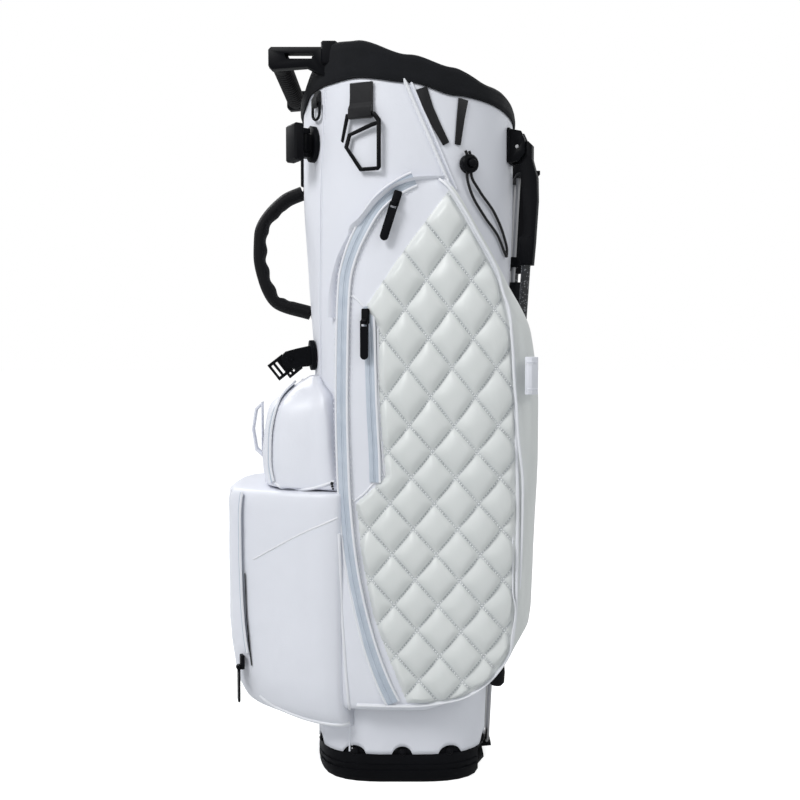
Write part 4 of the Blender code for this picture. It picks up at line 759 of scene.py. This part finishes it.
BALL_ZIP = [(-0.1880, 0.3405), (-0.1905, 0.320), (-0.1905, 0.278), (-0.1895, 0.230), (-0.187, 0.185),
            (-0.183, 0.152)]
DARK_GAP = [(-0.1835, 0.246), (-0.1820, 0.200), (-0.1795, 0.160), (-0.1770, 0.136)]
ARC_ZIP = [(-0.128, 0.466), (-0.142, 0.452), (-0.151, 0.430), (-0.1545, 0.405), (-0.1545, 0.372),
           (-0.1505, 0.354)]
for side, word in ((1, "near"), (-1, "far")):
    where = on_bag(side)
    sewn = bmesh.new()
    for name, path, radius in (("ball_seam", BALL_SEAM, 0.0011), ("strip_seam", STRIP_SEAM, 0.0019),
                               ("mouth_piping", MOUTH_PIPING, 0.0019), ("foot_piping", FOOT_PIPING, 0.0022)):
        line = stations(path, where, 0.003)
        show(name + "_" + word, ribbon(line, bead(radius, 0.0006), True), PIPING)
        stitch_into(sewn, line, across=side * 0.0042)
    show("front_stitches_" + word, sewn, THREAD)
    zip_run("ball_zip_" + word, BALL_ZIP, where, 0.8)
    zip_run("arc_zip_" + word, ARC_ZIP, where, 0.55)
    # Painted shade: this black strip beside the ball zip stands for the shadowed gap there, with the black
    # lining seen in it.
    show("ball_zip_gap_shade_" + word,
         ribbon(stations(DARK_GAP, where, 0.003),
                [(-0.0016, 0.0004), (-0.001, 0.0016), (0.001, 0.0016), (0.0016, 0.0004)]), BLACK_TACKS_AND_GAP_SHADE)
tack = bmesh.new()
for side in (1, -1):
    for x, z, size in ((-0.0805, 0.3560, 0.0021), (-0.0800, 0.3525, 0.0015), (-0.0792, 0.3495, 0.0012)):
        point, normal = on_bag(side)(x, z)
        bmesh.ops.create_icosphere(tack, subdivisions=2, radius=size,
                                   matrix=Matrix.Translation(point + normal * 0.0006))
show("mouth_bartacks", tack, BLACK_TACKS_AND_GAP_SHADE)
line = stations([(-0.060, 0.3405), (0.0, 0.3405), (0.060, 0.3405)], on_front, 0.004)
show("ball_mouth_front", ribbon(line, bead(0.0019, 0.0006), True), PIPING)

# ---------------------------------------------------------------- collar
# A padded collar of soft charcoal cloth rolls over the moulded ring round the top. It hangs lower at
# the front and is sewn to the tube along its foot.
def soft_cloth(name, light, dark, scale, sheen=0.3, depth=0.0003):
    """Dark knitted cloth: fine crossed ribs, pilling and a soft sheen."""
    made, tree, shader = bare(name, Roughness=0.88, Sheen_Weight=sheen * 0.25, Sheen_Roughness=0.5,
                              Specular_IOR_Level=0.12)
    place = node(tree, "ShaderNodeTexCoord")
    cells = node(tree, "ShaderNodeTexVoronoi", {"feature": "F1"}, Scale=scale)
    ribs = node(tree, "ShaderNodeTexWave", {"bands_direction": "Z"}, Scale=scale * 0.5, Distortion=1.5)
    mixed = node(tree, "ShaderNodeMath", {"operation": "MULTIPLY"})
    cloud = node(tree, "ShaderNodeTexNoise", None, Scale=38.0, Detail=5.0, Roughness=0.7)
    tone = tones(tree, dark, light)
    relief = node(tree, "ShaderNodeBump", None, Strength=0.6, Distance=depth)
    for texture in (cells, ribs, cloud):
        wire(tree, (place, "Object", texture, "Vector"))
    wire(tree, (cells, "Distance", mixed, 0), (ribs, "Fac", mixed, 1), (cloud, "Fac", tone, 0),
         (tone, 2, shader, "Base Color"), (mixed, 0, relief, "Height"),
         (relief, "Normal", shader, "Normal"))
    return made


CHARCOAL = soft_cloth("charcoal_cloth", (0.012, 0.013, 0.016), (0.005, 0.0055, 0.0065), 900.0)
COLLAR = ((0.0, 0.0, 0.0002), (0.05, 0.02, 0.0026), (0.14, 0.16, 0.0033), (0.30, 0.45, 0.0034),
          (0.44, 0.78, 0.0030), (0.52, 0.93, 0.0015), (0.60, 1.0, -0.0022), (0.68, 0.97, -0.0065),
          (0.76, 0.80, -0.0086), (0.88, 0.45, -0.0092), (1.0, 0.10, -0.0094))
COLLAR_RISE = [(t, rise) for t, rise, _ in COLLAR]
COLLAR_OUT = [(t, out) for t, _, out in COLLAR]


def collar_place(u, v):
    angle = 360 * u
    low, high = cuff_foot(angle), cuff_top(angle) - 0.0004
    z = low + (high - low) * straight(COLLAR_RISE, v)
    turn = math.radians(angle)
    soft = noise.noise(Vector((math.cos(turn) * 3, math.sin(turn) * 3, z * 25)))
    drag = noise.noise(Vector((math.cos(turn) * 9, math.sin(turn) * 9, z * 12)))
    return wall(angle, z, straight(COLLAR_OUT, v) + 0.0006 * soft + 0.0004 * drag)


collar = show("collar", surface(260, 44, collar_place, closed=True), CHARCOAL,
              stands_for=["top_cuff"])
thicken(collar, 0.0012)
hem = [(wall(a, cuff_foot(a), 0.0006), facing(a, cuff_foot(a)), None) for a in range(0, 361, 2)]
hem = [(p, n, (hem[(i + 1) % 180][0] - hem[i - 1 if i else 179][0]).normalized())
       for i, (p, n, _) in enumerate(hem)]
show("collar_hem", ribbon(hem, bead(0.0012, 0.0006), True), CHARCOAL)

# ---------------------------------------------------------------- moulded black pieces
# Handle frame, strap plates and clips, ladder locks, cord lock, towel ring, leg hinges, yoke and guides
# are injection moulded in black nylon with a fine spark texture and softened edges.
def moulded_plastic(name, colour, rough, grain, depth, specular=0.08):
    made, tree, shader = bare(name, Specular_IOR_Level=specular)
    skin = node(tree, "ShaderNodeGroup", {"node_tree": GRAIN}, Scale=grain)
    tone = tones(tree, colour, [c * 1.7 + 0.001 for c in colour])
    gloss = node(tree, "ShaderNodeMapRange", None, From_Min=0.25, From_Max=0.75, To_Min=rough - 0.08,
                 To_Max=rough + 0.10)
    relief = node(tree, "ShaderNodeBump", None, Strength=0.5, Distance=depth)
    wire(tree, (skin, "Mottle", tone, 0), (tone, 2, shader, "Base Color"), (skin, "Mottle", gloss, "Value"),
         (gloss, 0, shader, "Roughness"), (skin, "Height", relief, "Height"),
         (relief, "Normal", shader, "Normal"))
    return made


NYLON = moulded_plastic("black_nylon", (0.0022, 0.0024, 0.0034), 0.42, 2200.0, 0.00006)
RUBBER = moulded_plastic("black_rubber", (0.0050, 0.0050, 0.0058), 0.60, 1500.0, 0.00012, specular=0.10)


def moulded(name, material=NYLON, edge=0.0006, segments=2, sharp=34, new_name=None):
    """Cleaned copy of a solid with its edges rounded over, riding where the solid rides."""
    bm = bmesh.new()
    bm.from_mesh(frame["nodes"][name].data)
    bmesh.ops.remove_doubles(bm, verts=bm.verts, dist=0.00001)
    bmesh.ops.dissolve_limit(bm, angle_limit=math.radians(1.2), verts=bm.verts, edges=bm.edges)
    if edge:
        corners = [e for e in bm.edges if e.is_manifold and e.calc_face_angle(0) > math.radians(38)]
        bmesh.ops.bevel(bm, geom=corners, offset=edge, offset_type="OFFSET", segments=segments, profile=0.5,
                        affect="EDGES", clamp_overlap=True, material=-1)
    body = frame["nodes"][name]["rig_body"]
    return show(new_name or name + "_finished", bm, material, body, [name], sharp)


for name in ("lift_handle_frame", "top_frame", "cord_lock", "cord_lock_button", "drive_yoke",
             "rod_guide_upper", "rod_guide_lower", "base_flap", "towel_ring"):
    moulded(name)
for word in ("near", "far"):
    for name in ("strap_plate_upper_", "strap_plate_lower_", "strap_clip_", "ladder_lock_", "leg_bracket_",
                 "leg_connector_"):
        moulded(name + word)
    moulded("leg_foot_" + word, RUBBER, 0.001, 3)
for name in ("garment_zip_near", "garment_zip_far", "valuables_zip", "ball_zip"):
    moulded(name + "_slider", edge=0.0004)
    moulded(name + "_tab", edge=0.0009, segments=3)

# ---------------------------------------------------------------- bright steel
# Pins, stays and the rod that works the legs are drawn steel wire and bar. The ring for a glove
# beside them is moulded.
STEEL, steel, steel_shader = bare("drawn_steel", Metallic=1.0, Base_Color=(0.42, 0.42, 0.43, 1))
lie = node(steel, "ShaderNodeTexCoord")
drawn = node(steel, "ShaderNodeTexNoise", None, Scale=240.0, Detail=4.0)
shine = node(steel, "ShaderNodeMapRange", None, To_Min=0.22, To_Max=0.45)
wire(steel, (lie, "Object", drawn, "Vector"), (drawn, "Fac", shine, "Value"),
     (shine, 0, steel_shader, "Roughness"))
for name in ("drive_rod", "base_flap_pin", "leg_pin_near", "leg_pin_far", "stay_near", "stay_far"):
    moulded(name, STEEL, 0.0, sharp=40)
moulded("d_ring", NYLON, 0.0004)

# ---------------------------------------------------------------- webbing
# Black polyester webbing, woven in a fine herringbone with heavier edges: the loops that hold the rings
# and the two tapes that hang the cord lock.
def woven(name, colour, scale):
    made, tree, shader = bare(name, Roughness=0.8, Sheen_Weight=0.2, Specular_IOR_Level=0.15)
    place = node(tree, "ShaderNodeTexCoord")
    warp, weft = [node(tree, "ShaderNodeTexWave", {"bands_direction": way}, Scale=scale, Distortion=0.3)
                  for way in "XZ"]
    crossed = node(tree, "ShaderNodeMath", {"operation": "MAXIMUM"})
    tone = tones(tree, [c * 0.5 for c in colour], [c * 1.5 for c in colour])
    relief = node(tree, "ShaderNodeBump", None, Strength=0.8, Distance=0.0004)
    wire(tree, (place, "Object", warp, "Vector"), (place, "Object", weft, "Vector"),
         (warp, "Fac", crossed, 0), (weft, "Fac", crossed, 1), (crossed, 0, tone, 0),
         (tone, 2, shader, "Base Color"),
         (crossed, 0, relief, "Height"), (relief, "Normal", shader, "Normal"))
    return made


WEBBING = woven("black_webbing", (0.012, 0.012, 0.0135), 260.0)
for name in ("towel_ring_strap", "d_ring_strap", "cord_tape_front", "cord_tape_rear"):
    moulded(name, WEBBING, 0.0003, 1)

# ---------------------------------------------------------------- elastic cord
# A smooth round elastic cord in a narrow V: both ends rise through the cord lock, and the loop hangs
# round the back of the side pocket.
CORD_RUN = ((117.6, 0.1255, 0.0054), (118.5, 0.130, 0.0054), (118.7, 0.140, 0.0054), (118.5, 0.152, 0.0054),
            (121.0, 0.170, 0.004), (129.5, 0.196, 0.003), (139.5, 0.216, 0.003), (146.5, 0.234, 0.003),
            (148.9, 0.238, 0.003), (149.2, 0.231, 0.003), (145.0, 0.214, 0.003), (136.5, 0.190, 0.003),
            (126.0, 0.168, 0.004), (120.9, 0.152, 0.0054), (120.5, 0.140, 0.0054), (120.3, 0.130, 0.0054),
            (119.6, 0.1255, 0.0054))
CORD_STEPS = 110


def smooth_run(stops, steps):
    """Even points along a smooth curve through the stops."""
    spans = [0.0]
    for a, b in zip(stops, stops[1:]):
        spans.append(spans[-1] + (b - a).length)
    axes = [[(span, stop[axis]) for span, stop in zip(spans, stops)] for axis in range(3)]
    return [Vector([flow(axis, spans[-1] * i / steps) for axis in axes]) for i in range(steps + 1)]


cord_points = smooth_run([wall(angle, RIM - drop, out) for angle, drop, out in CORD_RUN], CORD_STEPS)
cord_line = []
for i, point in enumerate(cord_points):
    along = (cord_points[min(i + 1, CORD_STEPS)] - cord_points[max(i - 1, 0)]).normalized()
    normal = Vector((point.x, point.y, 0)).normalized()
    cord_line.append((point, (normal - along * normal.dot(along)).normalized(), along))
show("elastic_cord", ribbon(cord_line, bead(0.0016, 0.0, 12), True), WEBBING,
     stands_for=["bungee_cord"])

# ---------------------------------------------------------------- handles
# The carry handle is soft rubber over a steel strip, ribbed outside and waved inside for the fingers. The
# lift handle's grip is a ribbed rubber sleeve.
CARRY_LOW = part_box("carry_handle")[0]
carry_top, carry_foot = 0.703, 0.554
front_top, front_foot = wall(0, carry_top).x - 0.0005, wall(0, carry_foot).x - 0.0005
carry_out = CARRY_LOW.x + 0.0105
carry_stops = [Vector(place) for place in (
    (front_top, 0, carry_top), (front_top - 0.024, 0, carry_top - 0.011), (carry_out, 0, 0.6505),
    (carry_out - 0.001, 0, 0.6255), (carry_out + 0.005, 0, 0.5945), (carry_out + 0.020, 0, 0.568),
    (front_foot, 0, carry_foot))]
CARRY_STEPS = 120
carry_points = smooth_run(carry_stops, CARRY_STEPS)
FINGERS, FINGER_DEEP = 6, 0.0026


def carry_place(u, v):
    i = round(v * CARRY_STEPS)
    along = (carry_points[min(i + 1, CARRY_STEPS)] - carry_points[max(i - 1, 0)]).normalized()
    if i in (0, CARRY_STEPS):
        along = Vector((-1 if i == 0 else 1, 0, 0))
    outer = Vector((-along.z, 0, along.x))
    if outer.x > 0.2:
        outer = -outer
    turn = 2 * math.pi * u
    held = min(1.0, max(0.0, (v - 0.16) / 0.05), max(0.0, (0.88 - v) / 0.05))
    inward = max(0.0, -math.cos(turn))
    grip = FINGER_DEEP * inward * held * (0.5 + 0.5 * math.cos(2 * math.pi * FINGERS * (v - 0.16) / 0.72))
    rib = 0.0008 * max(0.0, math.cos(turn)) ** 8
    radius = 0.0082 + rib - grip
    return carry_points[i] + outer * radius * math.cos(turn) + Vector((0, 0.0128 * math.sin(turn), 0))


bm = surface(40, CARRY_STEPS, carry_place)
bmesh.ops.remove_doubles(bm, verts=bm.verts, dist=0.00001)
bmesh.ops.holes_fill(bm, edges=[edge for edge in bm.edges if edge.is_boundary])
bmesh.ops.recalc_face_normals(bm, faces=bm.faces)
show("carry_grip", bm, RUBBER, stands_for=["carry_handle"], sharp=60)

SLEEVE_LOW, SLEEVE_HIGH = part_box("lift_handle_grip")
sleeve_middle = (SLEEVE_LOW + SLEEVE_HIGH) / 2
sleeve_radius = (SLEEVE_HIGH.z - SLEEVE_LOW.z) / 2
sleeve_half = (SLEEVE_HIGH.y - SLEEVE_LOW.y) / 2


def sleeve_place(u, v):
    y = SLEEVE_LOW.y + 2 * sleeve_half * v
    share = abs(y - sleeve_middle.y) / sleeve_half
    ribs = 0.0007 * (math.sin(y * 2 * math.pi / 0.0085) > 0.55) if share < 0.84 else 0.0
    radius = sleeve_radius - ribs - 0.002 * max(0.0, (share - 0.975) / 0.025)
    turn = -2 * math.pi * u
    return Vector((sleeve_middle.x + radius * math.cos(turn), y, sleeve_middle.z + radius * math.sin(turn)))


bm = surface(36, 240, sleeve_place)
bmesh.ops.remove_doubles(bm, verts=bm.verts, dist=0.00001)
bmesh.ops.holes_fill(bm, edges=[edge for edge in bm.edges if edge.is_boundary])
bmesh.ops.recalc_face_normals(bm, faces=bm.faces)
show("lift_sleeve", bm, RUBBER, stands_for=["lift_handle_grip"], sharp=50)

# ---------------------------------------------------------------- legs
# Each leg is a thin tube with a dark speckled carbon finish, pressed into its moulded connector above and
# a rubber foot below.
CARBON, carbon, carbon_shader = bare("speckled_carbon", Roughness=0.28, Coat_Weight=0.4,
                                     Coat_Roughness=0.12)
lie = node(carbon, "ShaderNodeTexCoord")
flecks = node(carbon, "ShaderNodeTexVoronoi", {"feature": "F1"}, Scale=330.0)
patches = node(carbon, "ShaderNodeTexNoise", None, Scale=120.0, Detail=3.0)
picked = node(carbon, "ShaderNodeMath", {"operation": "LESS_THAN"})
picked.inputs[1].default_value = 0.30
shaded = node(carbon, "ShaderNodeMath", {"operation": "MULTIPLY"})
fleck_tone = tones(carbon, (0.012, 0.013, 0.015), (0.33, 0.34, 0.36))
wire(carbon, (lie, "Object", flecks, "Vector"), (lie, "Object", patches, "Vector"),
     (flecks, "Distance", picked, 0), (picked, 0, shaded, 0), (patches, "Fac", shaded, 1),
     (shaded, 0, fleck_tone, 0), (fleck_tone, 2, carbon_shader, "Base Color"))
for word in ("near", "far"):
    moulded("leg_tube_" + word, CARBON, 0.0, sharp=50)

# ---------------------------------------------------------------- white loops
# The loop that holds the folded leg and the pull on the front pocket are folded strips of white coated
# cloth, hemmed with thread along both edges.
for name in ("leg_strap_loop", "pocket_pull_loop"):
    moulded(name, WHITE, 0.0006, 2, new_name=name + "_cloth")
LOOP_LOW, LOOP_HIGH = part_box("leg_strap_loop")
rough = bmesh.new()
rough.from_mesh(frame["nodes"]["leg_strap_loop"].data)
loop_tree = BVHTree.FromBMesh(rough)
rough.free()
sewn = bmesh.new()
for z in (LOOP_LOW.z + 0.006, LOOP_HIGH.z - 0.006):
    line = []
    for i in range(12):
        x = LOOP_LOW.x + 0.002 + (LOOP_HIGH.x - LOOP_LOW.x - 0.003) * i / 11
        hit = loop_tree.ray_cast(Vector((x, -0.4, z)), Vector((0, 1, 0)))
        if hit[0] is not None:
            line.append((hit[0], hit[1] if hit[1].y < 0 else -hit[1], Vector((1, 0, 0))))
    if len(line) > 3:
        show("leg_loop_hem_%d" % (z * 1000), ribbon(line, bead(0.0008, 0.0001), True), WHITE)
        stitch_into(sewn, line, across=0.0026, pitch=0.0014)
if sewn.verts:
    show("leg_loop_stitches", sewn, THREAD)

# ---------------------------------------------------------------- base
# The base cup is moulded in black plastic with raised bands round its foot, and the tube's skirt is held
# to it by round black rivets, each in its own scallop.
moulded("base_cup", NYLON, 0.0012, segments=3)


def around(z, out):
    line = []
    for turn in range(-141, 142, 3):
        here, before, after = [wall(turn + step, z, out) for step in (0, -2, 2)]
        line.append((here, facing(turn, z), (after - before).normalized()))
    return line


for index, z in enumerate((0.0135, 0.0205)):
    show("base_band_%d" % index,
         ribbon(around(z, 0.0), [(-0.0016, -0.002), (-0.0012, 0.0007), (0.0012, 0.0007), (0.0016, -0.002)]),
         NYLON)
rivets = bmesh.new()
for turn in RIVET_TURNS:
    z = TUBE_LOW.z + 0.0022
    middle, normal = wall(turn, z, -0.0006), facing(turn, z)
    along = Vector((0, 0, 1))
    seat = Matrix.Translation(middle) @ Matrix((along.cross(normal), along, normal)).transposed().to_4x4()
    raised = seat @ Matrix.Translation((0, 0, 0.0012))
    bmesh.ops.create_uvsphere(rivets, u_segments=20, v_segments=12, radius=1.0,
                              matrix=seat @ Matrix.Diagonal((0.0046, 0.0046, 0.0022, 1)))
    bmesh.ops.create_uvsphere(rivets, u_segments=14, v_segments=8, radius=1.0,
                              matrix=raised @ Matrix.Diagonal((0.0020, 0.0020, 0.0016, 1)))
show("base_rivets", rivets, NYLON)

# ---------------------------------------------------------------- hip pad
# A soft pad of charcoal cloth over foam, sewn to the back of the tube between the legs.
pad = moulded("hip_pad", CHARCOAL, 0.003, 3, 60)

# ---------------------------------------------------------------- inside
# Dividers are plastic frames wrapped in brushed dark cloth, and they split the bag for its clubs.
DIVIDER = soft_cloth("brushed_divider_cloth", (0.030, 0.030, 0.034), (0.016, 0.016, 0.018), 700.0, 0.4)
for name in ("top_divider", "full_length_divider"):
    moulded(name, DIVIDER, 0.001, 2)
